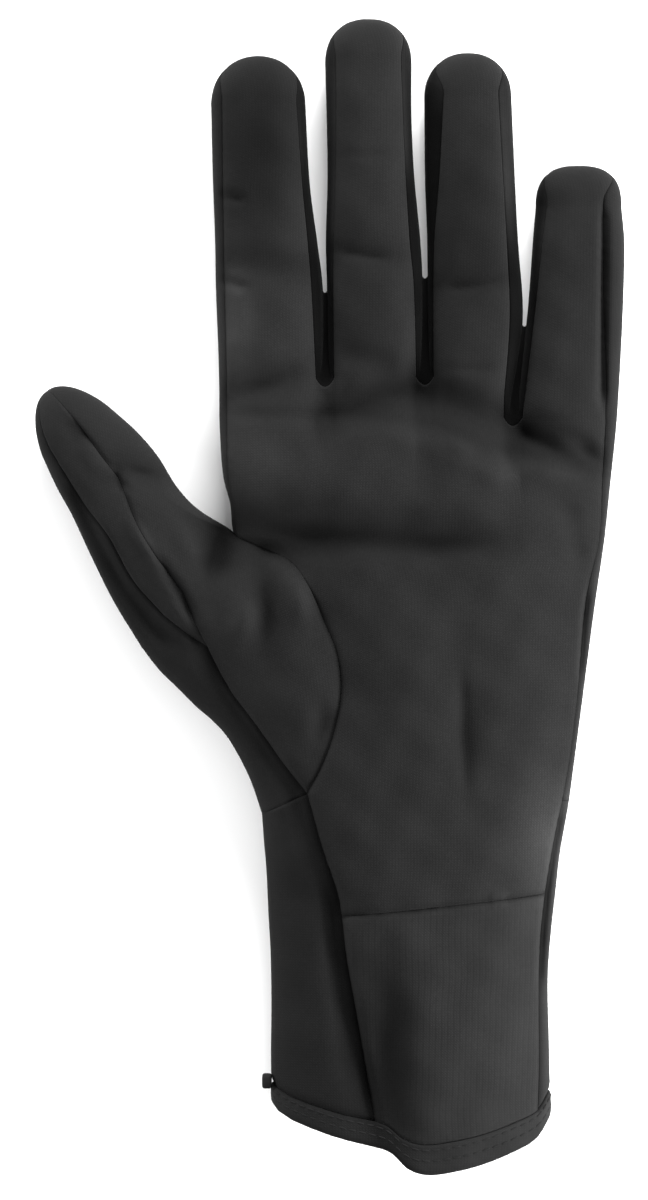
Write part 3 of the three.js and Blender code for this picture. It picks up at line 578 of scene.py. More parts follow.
def hand_grid(face, stretch, shares):
    """One face of a stretch of the hand, its rows down the glove and its columns round the ring."""
    if face in root_rows:
        x = root_rows[face][:, 0]
        t, start_row = (x - x[0]) / (x[-1] - x[0]), root_rows[face]
    else:
        t = columns_of(face)
        start_row = finger_point(last_finger if face == "right" else 0, face, t, 0.0)
    t, share = np.broadcast_arrays(t[None, :], shares[:, None])
    grid = hand_point(face, t, stretch, share, start_row[None])
    return grid[:, ::-1] if face == "under" else grid


print("the palm's middle is", round(float(top_at(0.0)), 1), "mm high")

# %% Thumb
upper = rails(thumb_upper)


def thumb_ring_point(face, t, share):
    """A ring across the thumb, at a share of the way from its tip to the web."""
    outer, inner = upper["outer"](share), upper["inner"](share)
    across = inner - outer
    reach = np.linalg.norm(across, axis=-1) / 2
    direction = across / (2 * reach[..., None])
    top = mix(thumb["top_at_tip"], thumb["top_at_web"], share)

    def seam_angle(seam):
        return angle_of(1 - ((upper[seam](share) - outer) * direction).sum(-1) / reach)

    angle_a, angle_b = seam_angle("seam_a"), seam_angle("seam_b")
    lower = lower_seam_angle
    angle = {
        "front": mix(angle_a, 180 - lower, t),
        "inner": mix(180 - lower, 180 + lower, t),
        "under": mix(180 + lower, 360 - lower, t),
        "outer": np.where(t < 0.5, mix(-lower, 0, 2 * t), mix(0, angle_b, 2 * t - 1)),
        "strip": mix(angle_b, angle_a, t),
    }[face]
    inwards, up = superellipse(angle)
    flat = outer + direction * (reach * (1 - inwards))[..., None]
    return place(flat[..., 0], flat[..., 1], height_of(up, top * side_level, top))


def base_seam_b(share):
    """The outer seam of the side strip, which runs into seam A at a quarter of the base and follows it."""
    meeting = thumb["meeting"]
    part = np.clip(share / meeting, 0, 1)
    drift = base["seam_a"](meeting) - base["seam_b"](1.0)
    before = base["seam_b"](part) + drift * part[..., None]
    return np.where((share >= meeting)[..., None], base["seam_a"](share), before)


def base_point(face, t, share):
    """The thumb's base, which opens into the hand along the gusset seam, full in its middle."""
    if face == "under":
        return mix(base["under_gusset"](share), base["outer_under"](share), t[..., None])
    if face == "outer":
        return roll(base_seam_b(share), base["outer"](share), base["outer_under"](share), 1 - t)
    if face == "strip":
        return mix(base_seam_b(share), base["seam_a"](share), t[..., None])
    if face == "inner":
        return plain_section("left", 1 - t, 0, np.ones_like(share))
    point = mix(base["seam_a"](share), base["gusset"](share), t[..., None])
    along_it = ease(share / thumb["run_in"]) * ease((1 - share) / thumb["run_in"])
    point[..., 2] += thumb["fullness"] * 4 * t * (1 - t) * along_it
    return point


def thumb_point(face, t, share):
    """The thumb above its web. Its lower half is drawn over to the base's own row, by what they differ."""
    turn = ease((share - thumb["turn_start"]) / (1 - thumb["turn_start"]))[..., None]
    gap = base_point(face, t, np.zeros_like(share)) - thumb_ring_point(face, t, np.ones_like(share))
    return thumb_ring_point(face, t, share) + gap * turn


def thumb_tip_point(face, t, cap):
    """The thumb's rounded tip, over which its first ring shrinks to a point."""
    start = thumb_point(face, t, np.zeros_like(cap))
    outer, inner = upper["outer"](0.0), upper["inner"](0.0)
    forwards = np.array([outer[1] - inner[1], inner[0] - outer[0], 0]) / np.hypot(*(inner - outer)[:2])
    middle = np.array([*(outer + inner)[:2] / 2, thumb["top_at_tip"] * side_level])
    reached = np.sin(np.radians(cap))[..., None] ** (2 / thumb["cap_power"])
    shrink = np.maximum(np.cos(np.radians(cap)), 0)[..., None] ** (2 / thumb["cap_power"])
    narrowed = shrink * (1 - thumb["cap_taper"] * reached)
    return mix(middle, start, narrowed) + forwards * thumb["cap_length"] * reached

# %% [markdown]
# ## Folds and creases
#
# Thin stretch cloth over nothing shows broad folds where it bends and fine creases where it is creased
# from wearing. Each one here follows a line on the palm and pushes the cloth down by a bell-shaped depth,
# so a crease is one row of a table and a negative depth is a ridge. The broad ones are the model's own.

# %% Folds: name, the points of the line, half width and depth
broad_folds = [
    ("palm crease", [(-19, 15.5), (41, 11.5)], 5, 2.0),
    ("below the index finger", [(-22, 45), (-9, 51)], 4, 0.9),
    ("below the middle finger", [(2, 41), (19, 49)], 5, 1.6),
    ("below the ring finger", [(23, 47), (45, 36)], 5, 1.6),
    ("below the little finger", [(47, 38), (61, 31)], 4.5, 1.4),
    ("heel fold", [(31, -16), (31, -48)], 5, 1.0),
    ("gusset valley", [(-15.5, 5), (-13, -18)], 4, 1.4),
    ("thumb crease", [(-49, 29), (-41, 28)], 4, 0.9),
    ("index crease", [(-24, 77), (-7, 76)], 4, 0.9),
    ("middle crease", [(1, 80), (16, 79)], 4, 0.9),
    ("ring crease", [(25, 72), (42, 74)], 4, 0.8),
    ("cuff fold", [(13, -82), (14, -128)], 4.5, 1.4),
]
fine_creases = [
    ("index left swell", [(-21, 73), (-21, 60)], 3, -0.5),
    ("index upper notch", [(-25, 93.5), (-21.5, 92.5)], 1.2, 0.9),
    ("index lower notch", [(-25, 73.5), (-20.5, 72)], 1.2, 0.9),
    ("index smooth dent", [(-16.6, 102), (-16.6, 104)], 4.5, 0.4),
    ("index base fold", [(-24, 46.5), (-17, 49), (-10, 50.5)], 2.8, 1.1),
    ("middle faint line", [(2, 102.7), (15, 102.7)], 1.1, 0.35),
    ("middle crease line", [(0, 81), (8, 79.6), (15.2, 78.3)], 1.3, 0.9),
    ("middle base shadow", [(4.6, 55.7), (12.8, 54.1)], 2.8, 0.8),
    ("middle base diagonal", [(1, 40.5), (9, 45), (19.4, 50.5)], 3.4, 1.4),
    ("ring crease line", [(25.7, 71.7), (34, 72.2), (42.2, 74)], 1.3, 0.8),
    ("ring faint line", [(25.7, 52.6), (39.8, 52.6)], 1.2, 0.45),
    ("step below the fingers", [(-25, 42), (-0.6, 41.6), (14, 41), (26, 38.8), (35, 34.3), (45, 32.7),
                                (60, 29)], 1.9, 0.5),
    ("pad below the step", [(6, 37.5), (21.3, 36), (30, 31), (38, 28), (48.5, 28.5), (60, 26)], 2.8, -0.6),
    ("pad's highlight", [(29, 35), (31, 34)], 2.0, -0.7),
    ("hollow below the ring finger", [(17, 47), (38, 43)], 4.5, 1.3),
    ("ring to little diagonal", [(41, 41.5), (47, 37), (57, 30.5)], 2.0, 1.7),
    ("little base diagonal", [(56, 37.5), (63.8, 30.8)], 1.8, 1.3),
    ("palm crease line", [(-21, 19), (-12.8, 15.6), (-1.5, 14.2), (17, 12.2), (42, 12)], 3.2, 1.0),
    ("palm crease notch", [(-18, 12.6), (-9, 7.8)], 1.5, 1.2),
    ("palm crease, left end", [(-20, 17.5), (-12, 14), (-2, 13)], 4.2, 0.8),
    ("dent at the palm's right edge", [(56, 19), (57.5, 10)], 2.2, 0.6),
    ("heel fold line", [(30.2, -16.2), (31.6, -48.2)], 1.8, 0.6),
    ("thumb crease line", [(-49.2, 29.1), (-44, 28.2), (-39.1, 27.7)], 1.3, 0.8),
    ("web hollow", [(-25.5, 14.5), (-26.5, 7.5)], 4.2, 3.2),
    ("light fold beside the web hollow", [(-37, 18), (-31.5, 9), (-30, 1)], 2.6, -0.9),
    ("gusset ridge", [(-21.5, 3), (-20, -5), (-22, -13)], 2.8, -1.4),
    ("gusset valley line", [(-15, 9), (-14.5, -2), (-15, -14)], 2.2, 1.2),
    ("gusset inner ridge", [(-11.5, 6), (-7.5, 1), (-5.5, -9)], 2.4, -1.2),
    ("gusset lower dent", [(-3, -24), (-1.5, -29), (-3.5, -37)], 2.2, 1.0),
    ("side strip's ridge", [(-46.5, 18), (-41, 7.5), (-36, -2), (-32.5, -9)], 1.2, -1.3),
    ("groove of the front seam", [(-42, 9.5), (-36, 1.5), (-30.5, -8.5)], 1.7, 1.7),
    ("groove of the outer thumb seam", [(-62.5, 28), (-57.5, 18), (-53, 9), (-48, 0.5), (-41.5, -7.5),
                                        (-34, -13.5)], 1.8, 2.2),
    ("thumb tip's slit", [(-62, 42), (-56, 35)], 0.8, 1.4),
    ("thumb tip's edge", [(-58.8, 36.5), (-54, 31), (-49.5, 27.5)], 0.9, -0.8),
    ("thumb notch", [(-50, 27.5), (-48.5, 25.5)], 1.2, 0.7),
    ("wrist swell", [(-13, -50), (-13, -56)], 3.0, -0.5),
    ("wrist dent", [(-6.5, -64), (-6, -70)], 3.0, 0.6),
    ("palm's lower lip", [(24.3, -72.4), (39.6, -71.4)], 1.4, -0.35),
    ("lip's bump", [(38.3, -70.7), (39.5, -70.7)], 1.4, -0.6),
    ("cuff fold line", [(13.3, -82), (14, -128)], 3.0, 0.3),
    ("shadow beside the cuff's seam", [(0, -66), (2, -83.5), (4, -94), (6.5, -107), (10, -123)], 1.8, 1.4),
    ("hollow beside the outer seam", [(-34, -6), (-30, -14), (-24, -24.5), (-16.8, -34), (-8, -46), (-4, -58),
                                      (-0.5, -69.5), (1.7, -83.5), (3.6, -94), (6, -107), (10, -127)],
     2.1, 1.5),
    ("groove of the right seam", [(54.5, -49.5), (52.3, -61), (50.8, -70), (49.8, -80), (49.2, -92)],
     1.0, 1.6),
    ("groove of the hand's right edge", [(60.6, 2), (59.6, -4.5), (58.6, -20)], 0.9, 1.4),
    ("groove of the little finger", [(64.2, 92), (63.6, 43.5)], 1.0, 1.8),
]
run_out_reaches = 4
longest_run_out = 0.8  # as a share of the crease; a crease that is too short for this has no run-out
depth_at_end = 0.25
fold_start, fold_rise = 10, 6  # above this height the cloth starts to fold, and folds fully this much higher
slack_waves = [  # direction across and down, phase, length and height
    (0.9, 0.3, 0.0, 24, 0.16), (-0.5, 0.8, 1.3, 17, 0.13), (0.2, 1.0, 2.1, 13, 0.10),
    (1.0, -0.4, 4.0, 11, 0.08), (0.7, 0.7, 5.2, 9, 0.06),
]
slack_upwards = 0.3  # the waves' direction upwards
print(len(broad_folds), "broad folds and", len(fine_creases), "fine creases")


def to_line(points, line):
    """Seen from above, each point's distance to a line through corners, and how far along it that is."""
    nearest = np.full(points.shape[:-1], np.inf)
    nearest_share = np.zeros(points.shape[:-1])
    corners = np.array(line, float)
    starts = travelled(corners) / travelled(corners)[-1]
    for i, (start, run) in enumerate(zip(corners, np.diff(corners, axis=0))):
        offset = points[..., :2] - start
        share = np.clip((offset * run).sum(-1) / (run @ run), 0, 1)
        away = np.linalg.norm(offset - share[..., None] * run, axis=-1)
        nearest_share = np.where(away < nearest, mix(starts[i], starts[i + 1], share), nearest_share)
        nearest = np.minimum(nearest, away)
    return nearest, nearest_share


def slack(points):
    """Slight unevenness of loose cloth: the sum of a few long sine waves in fixed directions."""
    total = np.zeros(points.shape[:-1])
    for across, down, phase, length, height in slack_waves:
        run = points[..., 0] * across + points[..., 1] * down + slack_upwards * points[..., 2]
        total += height * np.sin(2 * np.pi * run / length + phase)
    return total


def fold_depth(points):
    """The sum of all folds' bells at each point. A long crease runs out over a few reaches at each end."""
    total = np.zeros(points.shape[:-1])
    for _, line, reach, depth in broad_folds + fine_creases:
        away, share = to_line(points, line)
        run_out = run_out_reaches * reach / steps(line).sum()
        from_end = np.minimum(share, 1 - share)
        taper = ease(from_end / min(run_out, 0.5)) if run_out < longest_run_out else 1
        total += depth * mix(depth_at_end, 1, taper) * bell(away, reach)
    return total


def creased(points):
    """Lowers the skin by every fold, and less so towards the glove's sides."""
    made = points.copy()
    made[..., 2] -= (slack(points) + fold_depth(points)) * ease((points[..., 2] - fold_start) / fold_rise)
    return made

# %% [markdown]
# ## One skin, then cut pieces
#
# If each piece were modelled alone, its edge would miss its neighbour's. So all grids are first merged
# into one closed skin, and its normals are worked out over the seams. Then each cut piece takes its own
# cells, is pulled back a little from its seams, gets the cloth's thickness and is closed round its edge.

# %% All grids of the skin
sheets = []


def add_sheet(grid, piece):
    """Keeps a grid for a piece, with a flat map in mm: down the glove, and round it from the first column."""
    down, round_it = steps(grid), steps(grid, 1)
    v = grid[:1, :, 1] - np.vstack([np.zeros_like(down[:1]), np.cumsum(down, axis=0)])
    u = grid[:, :1, 0] + np.hstack([np.zeros_like(round_it[:, :1]), np.cumsum(round_it, axis=1)])
    sheets.append((grid, np.stack([u, v], -1), piece))


fourchettes = ["fourchette_index_middle", "fourchette_middle_ring", "fourchette_ring_little"]
over_tip = np.linspace(90, 0, cells["cap"] + 1)[:-1]
cap_angles = np.concatenate([over_tip, np.zeros(cells["finger_length"] + 1)])
lengths = np.concatenate([np.ones(cells["cap"]), np.linspace(1, 0, cells["finger_length"] + 1)])
for index in range(len(fingers)):
    owners = {"front": "palm_panel", "under": "back_panel",
              "right": fourchettes[index] if index < last_finger else "back_panel",
              "left": fourchettes[index - 1] if index > 0 else "back_panel"}
    for face, piece in owners.items():
        t, length, cap = np.broadcast_arrays(columns_of(face)[None], lengths[:, None], cap_angles[:, None])
        add_sheet(creased(finger_point(index, face, t, length, cap)), piece)
    if index < last_finger:
        h, v = np.meshgrid(np.linspace(0, 1, cells["web"] + 1), columns_of("right"), indexing="ij")
        add_sheet(creased(web_point(index, h, v)), fourchettes[index])

stretches = {  # the stretch's number, its first and last share, and the pieces in front, left and under
    "knuckles": (0, 0, 1, "palm_panel", "back_panel", "back_panel"),
    "thumb_base": (1, 0, 1, "palm_panel", None, "back_panel"),
    "wrist": (2, 0, 1, "palm_panel", "cuff_back", "cuff_back"),
    "cuff": (3, 0, hem_share, "cuff_front", "cuff_back", "cuff_back"),
    "hem": (3, hem_share, 1, "cuff_hem", "cuff_hem", "cuff_hem"),
}
for name, (stretch, first, last, front_piece, left_piece, under_piece) in stretches.items():
    shares = np.linspace(first, last, body_rows[name] + 1)
    add_sheet(creased(hand_grid("front", stretch, shares)), front_piece)
    add_sheet(creased(hand_grid("right", stretch, shares)), under_piece)
    add_sheet(hand_grid("under", stretch, shares), under_piece)
    if left_piece:
        add_sheet(creased(hand_grid("left", stretch, shares)), left_piece)

owners = {"front": "thumb_front", "inner": "thumb_front", "under": "thumb_back", "outer": "thumb_back",
          "strip": "thumb_side_strip"}
for face, piece in owners.items():
    t = columns_of(face)[None]
    shares = np.linspace(0, 1, cells["thumb_upper"] + 1)[:, None]
    tip = thumb_tip_point(face, *np.broadcast_arrays(t, over_tip[:, None]))
    add_sheet(creased(np.vstack([tip, thumb_point(face, *np.broadcast_arrays(t, shares))])), piece)
    if face != "inner":
        shares = np.linspace(0, 1, body_rows["thumb_base"] + 1)[:, None]
        add_sheet(creased(base_point(face, *np.broadcast_arrays(t, shares))), piece)
print(len(sheets), "grids")

# %% The merged skin
steps_per_mm = 1e4  # points that fall on the same step are one


def merged_skin():
    """Points, cells of four corners, their flat map and their pieces. Points that fall together are one."""
    loose, corners, maps, owners = [], [], [], []
    first = 0
    for grid, flat, piece in sheets:
        rows, columns = grid.shape[:2]
        ids = first + np.arange(rows * columns).reshape(rows, columns)
        ring = [ids[:-1, :-1], ids[1:, :-1], ids[1:, 1:], ids[:-1, 1:]]
        corners.append(np.stack(ring, -1).reshape(-1, 4))
        maps.append(flat.reshape(-1, 2))
        loose.append(grid.reshape(-1, 3))
        owners += [piece] * len(corners[-1])
        first += rows * columns
    loose, corners = np.concatenate(loose), np.concatenate(corners)
    _, kept, same = np.unique(np.round(loose * steps_per_mm).astype(np.int64), axis=0, return_index=True,
                              return_inverse=True)
    same = same.reshape(-1)
    return loose[kept], same[corners], np.concatenate(maps)[corners], np.array(owners)


points, skin_cells, cell_maps, cell_owners = merged_skin()


def unit(vectors):
    """The same vectors with length 1."""
    return vectors / np.maximum(np.linalg.norm(vectors, axis=-1, keepdims=True), 1e-12)


def skin_normals():
    """At each point, the mean of its cells' normals, each the cross product of a cell's two diagonals."""
    a, b, c, d = (points[skin_cells[:, i]] for i in range(4))
    each = unit(np.cross(c - a, d - b))
    total = np.zeros_like(points)
    for i in range(4):
        np.add.at(total, skin_cells[:, i], each)
    return unit(total)


normals = skin_normals()
print(len(points), "points and", len(skin_cells), "cells in the skin")

# %% [markdown]
# ## From skin to cloth
#
# At a seam two pieces of cloth roll down against each other, so the edge of each sinks into a narrow dark
# groove, and the seam allowance behind it lifts the cloth a little beside the groove. Both depend only on
# how far a point is from its piece's edge, so that distance is measured once for every point. The thread
# also gathers the cloth in small puckers, which die out within a few millimetres.

# %% The rolled edges: drop and reach of the lip, then the height of the welt beside it
lips = {
    "palm_panel": (0.30, 0.6, 0.05), "thumb_front": (0.30, 0.6, 0.05), "thumb_side_strip": (0.30, 0.5, 0.02),
    "back_panel": (0.40, 0.7, 0.03), "thumb_back": (0.45, 0.8, 0.03), "cuff_back": (0.45, 0.8, 0.04),
    "cuff_front": (0.30, 0.6, 0.05), "cuff_hem": (0.40, 0.5, 0.05), "fourchette": (0.40, 0.6, 0.02),
}
welt_from_seam, welt_reach = 2.2, 1.1
pucker_height, pucker_reach, pucker_length, pucker_slant = 0.05, 2.6, 2.9, 0.6
lowest_pucker, pucker_beat = 0.2, 3.7  # the lowest one's share of the height, and puckers in one swell
# Where seams lie flat, and how far round: the five tips, and the top of the thumb's gusset. A flat seam
# counts as so many millimetres further away.
flat_places = np.array([(-17, 127, 17), (9, 135.5, 17), (32.5, 127.5, 17), (58.5, 101, 17), (-66.5, 46.5, 17),
                        (-11, 8, 17)])
flat_place = 1.3
flat_seams = {("back_panel", "cuff_back"): 2.0, ("cuff_back", "thumb_back"): 2.0,
              ("cuff_front", "cuff_hem"): 1.8, **{(name, "palm_panel"): 0.8 for name in fourchettes}}


def edge_relief(at, distance, piece):
    """How far the cloth stands out near its edge: less the lip's bell, plus the welt's, plus the puckers.

    The puckers are a sine wave along the seam that dies out with the distance, and a slower sine makes
    some of them high and some low.
    """
    drop, reach, welt = lips[piece if piece in lips else "fourchette"]
    lip = -drop * bell(distance, reach)
    raised = welt * bell(distance - welt_from_seam, welt_reach)
    phase = 2 * np.pi * (at[:, 1] + pucker_slant * at[:, 0]) / pucker_length
    uneven = mix(lowest_pucker, 1, (1 + np.sin(phase / pucker_beat + at[:, 2])) / 2)
    return lip + raised + pucker_height * np.exp(-distance / pucker_reach) * np.sin(phase) * uneven

# %% A piece's cells, its border and the distance from it
def piece_faces(piece):
    """A piece's cells with four corners and those with three, each with its flat map."""
    mine = cell_owners == piece
    loops, flat = skin_cells[mine], cell_maps[mine]
    kept = loops != np.roll(loops, 1, axis=1)
    faces = []
    for corners in (4, 3):
        rows = kept.sum(1) == corners
        faces.append((loops[rows][kept[rows]].reshape(-1, corners),
                      flat[rows][kept[rows]].reshape(-1, corners, 2)))
    return faces


def edges_of(faces):
    """Every edge of every cell: its two ends, their flat map, and whether it lies on the border."""
    start = np.concatenate([loops.ravel() for loops, _ in faces])
    end = np.concatenate([np.roll(loops, -1, axis=1).ravel() for loops, _ in faces])
    start_map = np.concatenate([flat.reshape(-1, 2) for _, flat in faces])
    end_map = np.concatenate([np.roll(flat, -1, axis=1).reshape(-1, 2) for _, flat in faces])
    border = ~np.isin(start * len(points) + end, end * len(points) + start)
    return start, end, np.stack([start_map, end_map], 1), border


sharpest_corner = 0.2
share_of_a_cell = 0.4


def seam_pull(start, end, border):
    """Moves border points into their piece by half the gap, along the bisector of their two edges."""
    a, b = start[border], end[border]
    inwards = unit(np.cross(unit(normals[a] + normals[b]), unit(points[b] - points[a])))
    bisector = np.zeros_like(points)
    np.add.at(bisector, a, inwards)
    np.add.at(bisector, b, inwards)
    bisector = unit(bisector)
    sharpness = np.ones(len(points))
    room = np.full(len(points), np.inf)
    inner_length = np.linalg.norm(points[end] - points[start], axis=1)[~border]
    for ends, inner_ends in ((a, start[~border]), (b, end[~border])):
        np.minimum.at(sharpness, ends, (inwards * bisector[ends]).sum(-1))
        np.minimum.at(room, inner_ends, inner_length)
    size = np.minimum(seam_gap / 2 / np.maximum(sharpness, sharpest_corner), share_of_a_cell * room)
    return bisector * np.where(np.isfinite(size), size, 0)[:, None]


edge_codes = skin_cells.ravel() * len(points) + np.roll(skin_cells, -1, axis=1).ravel()
edge_order = np.argsort(edge_codes)
edge_owners = np.repeat(cell_owners, 4)[edge_order]
edge_codes = edge_codes[edge_order]


def pressed_flat(piece, a, b):
    """How flat a border edge is sewn, as millimetres to add to the distance from it."""
    backwards = b * len(points) + a
    found = np.minimum(np.searchsorted(edge_codes, backwards), len(edge_codes) - 1)
    neighbours = np.where(edge_codes[found] == backwards, edge_owners[found], "")
    flatness = np.array([flat_seams.get(tuple(sorted((piece, str(other)))), 0.0) for other in neighbours])
    away = np.min([np.hypot(points[a, 0] - x, points[a, 1] - y) / reach
                   for x, y, reach in flat_places], axis=0)
    return np.maximum(flatness, flat_place * (1 - ease(away)))


def from_border(at, a, b, flatness, batch=1500):
    """The distance of each point to the nearest border edge, in batches that fit in memory."""
    start = points[a].astype(np.float32)
    run = (points[b] - points[a]).astype(np.float32)
    square = (run ** 2).sum(-1)
    found = []
    for first in range(0, len(at), batch):
        offset = at[first:first + batch, None].astype(np.float32) - start[None]
        share = np.clip((offset * run).sum(-1) / square, 0, 1)
        away = np.sqrt(((offset - share[..., None] * run) ** 2).sum(-1))
        found.append((away + flatness.astype(np.float32)).min(1))
    return np.concatenate(found)

# %% Meshes from arrays
def to_model(at):
    """Millimetres from the tables' origin to metres from the model's."""
    return (at + origin_shift) / 1000


def make_object(name, vertices, faces, material, flat=None, painted_shading=None):
    """An object from arrays: vertices in metres, faces as arrays of corners, a flat map and the painted
    shading.
    """
    mesh = bpy.data.meshes.new(name)
    loops = np.concatenate([corners.ravel() for corners in faces]).astype(np.int32)
    sizes = np.concatenate([np.full(len(corners), corners.shape[1]) for corners in faces])
    mesh.vertices.add(len(vertices))
    mesh.vertices.foreach_set("co", vertices.astype(np.float32).ravel())
    mesh.loops.add(len(loops))
    mesh.loops.foreach_set("vertex_index", loops)
    mesh.polygons.add(len(sizes))
    mesh.polygons.foreach_set("loop_start", (np.cumsum(sizes) - sizes).astype(np.int32))
    mesh.polygons.foreach_set("use_smooth", np.ones(len(sizes), bool))
    mesh.update(calc_edges=True)
    if flat is not None:
        mesh.uv_layers.new(name="cloth").uv.foreach_set("vector", flat.astype(np.float32).ravel())
    if painted_shading is not None:
        values = mesh.attributes.new("painted_shading", "FLOAT", "POINT").data
        values.foreach_set("value", painted_shading.astype(np.float32))
    mesh.materials.append(material)
    return put(name, mesh)


def open_edges(faces):
    """How many edges a mesh's faces leave open. A closed one has none."""
    start = np.concatenate([corners.ravel() for corners in faces])
    end = np.concatenate([np.roll(corners, -1, axis=1).ravel() for corners in faces])
    span = max(start.max(), end.max()) + 1
    return int((~np.isin(start * span + end, end * span + start)).sum())

# %% [markdown]
# ## Painted light and shade
#
# The cloth's colour here isn't one even grey, as light and shade are painted into it. It is painted darker in
# the folds and beside the seams, where shade falls, lighter on the ridges, lighter or darker at a few soft
# round places as they are lit or lie in shade, and nearly black in the slots between the fingers, where
# hardly any light comes down. Painting a picture for this would tie it to one resolution. So each point of
# the cloth carries one number that its colour is multiplied by, worked out from the distance to the seams,
# the folds and a few soft round places.

# %% Painted shade and light: where the cloth is painted darker or lighter than its plain colour
slot_walls = {  # middle of the slot, and where its painted shade begins on its left and its right wall
    "fourchette_index_middle": (-1, 110, 88), "fourchette_middle_ring": (22.3, 110, 128),
    "fourchette_ring_little": (45.3, 96, 86),
}
slot_fade = 18  # the length over which the painted shade comes up
slot_low, slot_rise = 10.5, 3.5  # above this height a wall's painted shade lifts, and fully so this much higher
slot_at_tip, slot_inside = (0.35, 1), (0.02, 0.03)  # the painted shade low on a wall, and high on it
# Painted shade in the groove beside each seam: how much darker at the seam, and its reach in mm.
painted_seam_shade, painted_seam_shade_reach = 0.35, 0.7
# Painted shade in the folds and painted light on the ridges, per mm of their depth.
painted_fold_shade = 0.2
painted_light_and_shade = {  # painted light and shade of a few places, as they are lit or lie in shade: middle, reach across and down, and how much lighter
    "index tip": (-16, 105, 9, 25, -0.6),
    "index left edge": (-22.5, 62, 4, 18, 0.95),
    "index middle": (-15, 62, 8, 18, 0.2),
    "ring finger": (33, 86, 10, 25, -0.35),
    "middle finger's root": (9, 62, 9, 14, -0.2),
    "cuff's fold": (14, -112, 8, 28, -0.5),
    "cuff's right": (46, -108, 12, 24, 0.3),
    "palm's upper left": (-17.5, 31, 8, 9, 0.85),
    "palm's lower right": (51.5, -57, 7, 15, 1.4),
    "pad": (32, 35, 14, 6, -0.2),
    "little finger's side": (67, 74, 3, 25, -0.2),
}
print(len(painted_light_and_shade), "lighter or darker places")


def shade_of(at, distance, piece):
    """Painted shade and light: a bell of shade beside the seams, times the painted places' own bells, darker
    in the folds than on the ridges, and nearly black low in the slots.
    """
    painted_shading = (1 - painted_seam_shade * bell(distance, painted_seam_shade_reach)) * np.exp(-painted_fold_shade * fold_depth(at))
    for x, y, reach_x, reach_y, change in painted_light_and_shade.values():
        painted_shading = painted_shading * (1 + change * bell(at[:, 0] - x, reach_x) * bell(at[:, 1] - y, reach_y))
    # Painted shade: the walls of the slots between the fingers, where hardly any light comes down, are
    # painted nearly black.
    if piece in slot_walls:
        middle, left_top, right_top = slot_walls[piece]
        inside = ease((np.where(at[:, 0] < middle, left_top, right_top) - at[:, 1]) / slot_fade)
        height = ease((at[:, 2] - slot_low) / slot_rise)
        lower, upper = (mix(*ends, inside) for ends in zip(slot_at_tip, slot_inside))
        painted_shading = painted_shading * mix(lower, upper, height)
    return painted_shading

# %% A cut piece of cloth with its wall
def cloth_piece(piece, material, proud=0.0):
    """The piece's outer cells, the same a wall further in, and a band of cells round its edge."""
    faces = piece_faces(piece)
    start, end, edge_map, border = edges_of(faces)
    order = np.unique(start)
    number = np.zeros(len(points), np.int64)
    number[order] = np.arange(len(order))
    a, b = start[border], end[border]
    distance = from_border(points[order], a, b, pressed_flat(piece, a, b))
    surface = points[order] + seam_pull(start, end, border)[order]
    outwards = proud + edge_relief(points[order], distance, piece)
    outer = surface + normals[order] * outwards[:, None]
    inner = surface - normals[order] * cloth_wall
    outer[:, 2] = np.maximum(outer[:, 2], 0)
    inner[:, 2] = np.maximum(inner[:, 2], cloth_wall)

    count = len(order)
    a, b = number[a], number[b]
    flats = [flat for _, flat in faces]
    corner_sets = [number[loops] for loops, _ in faces]
    corner_sets += [corners[:, ::-1] + count for corners in corner_sets[:2]]
    corner_sets.append(np.stack([b, a, a + count, b + count], 1))
    flats += [flat[:, ::-1] for flat in flats[:2]]
    flats.append(edge_map[border][:, [1, 0, 0, 1]])
    flat = np.concatenate([part.reshape(-1, 2) for part in flats])
    made = make_object(piece + "_cloth", to_model(np.vstack([outer, inner])), corner_sets, material, flat,
                       np.tile(shade_of(points[order], distance, piece), 2))
    triangles = sum(len(corners) * (corners.shape[1] - 2) for corners in corner_sets)
    print(f"{piece}: {triangles} triangles, {open_edges(corner_sets)} open edges")
    return made

# %% [markdown]
# ## Finishes
#
# The palm and the thumb are a smooth brushed jersey: dark grey knit whose face has been napped, so it
# takes almost no highlight. The back is a denser and blacker knit, the side strips are much like the
# palm, and the cuff's front has fine ribs. The knit's wales run down each finger, so the pattern lies on
# the flat map that goes with each piece. Real loops of such cloth are about 0.5 mm wide, finer than the
# picture's pixels can draw, so they are drawn at about 0.7 mm.

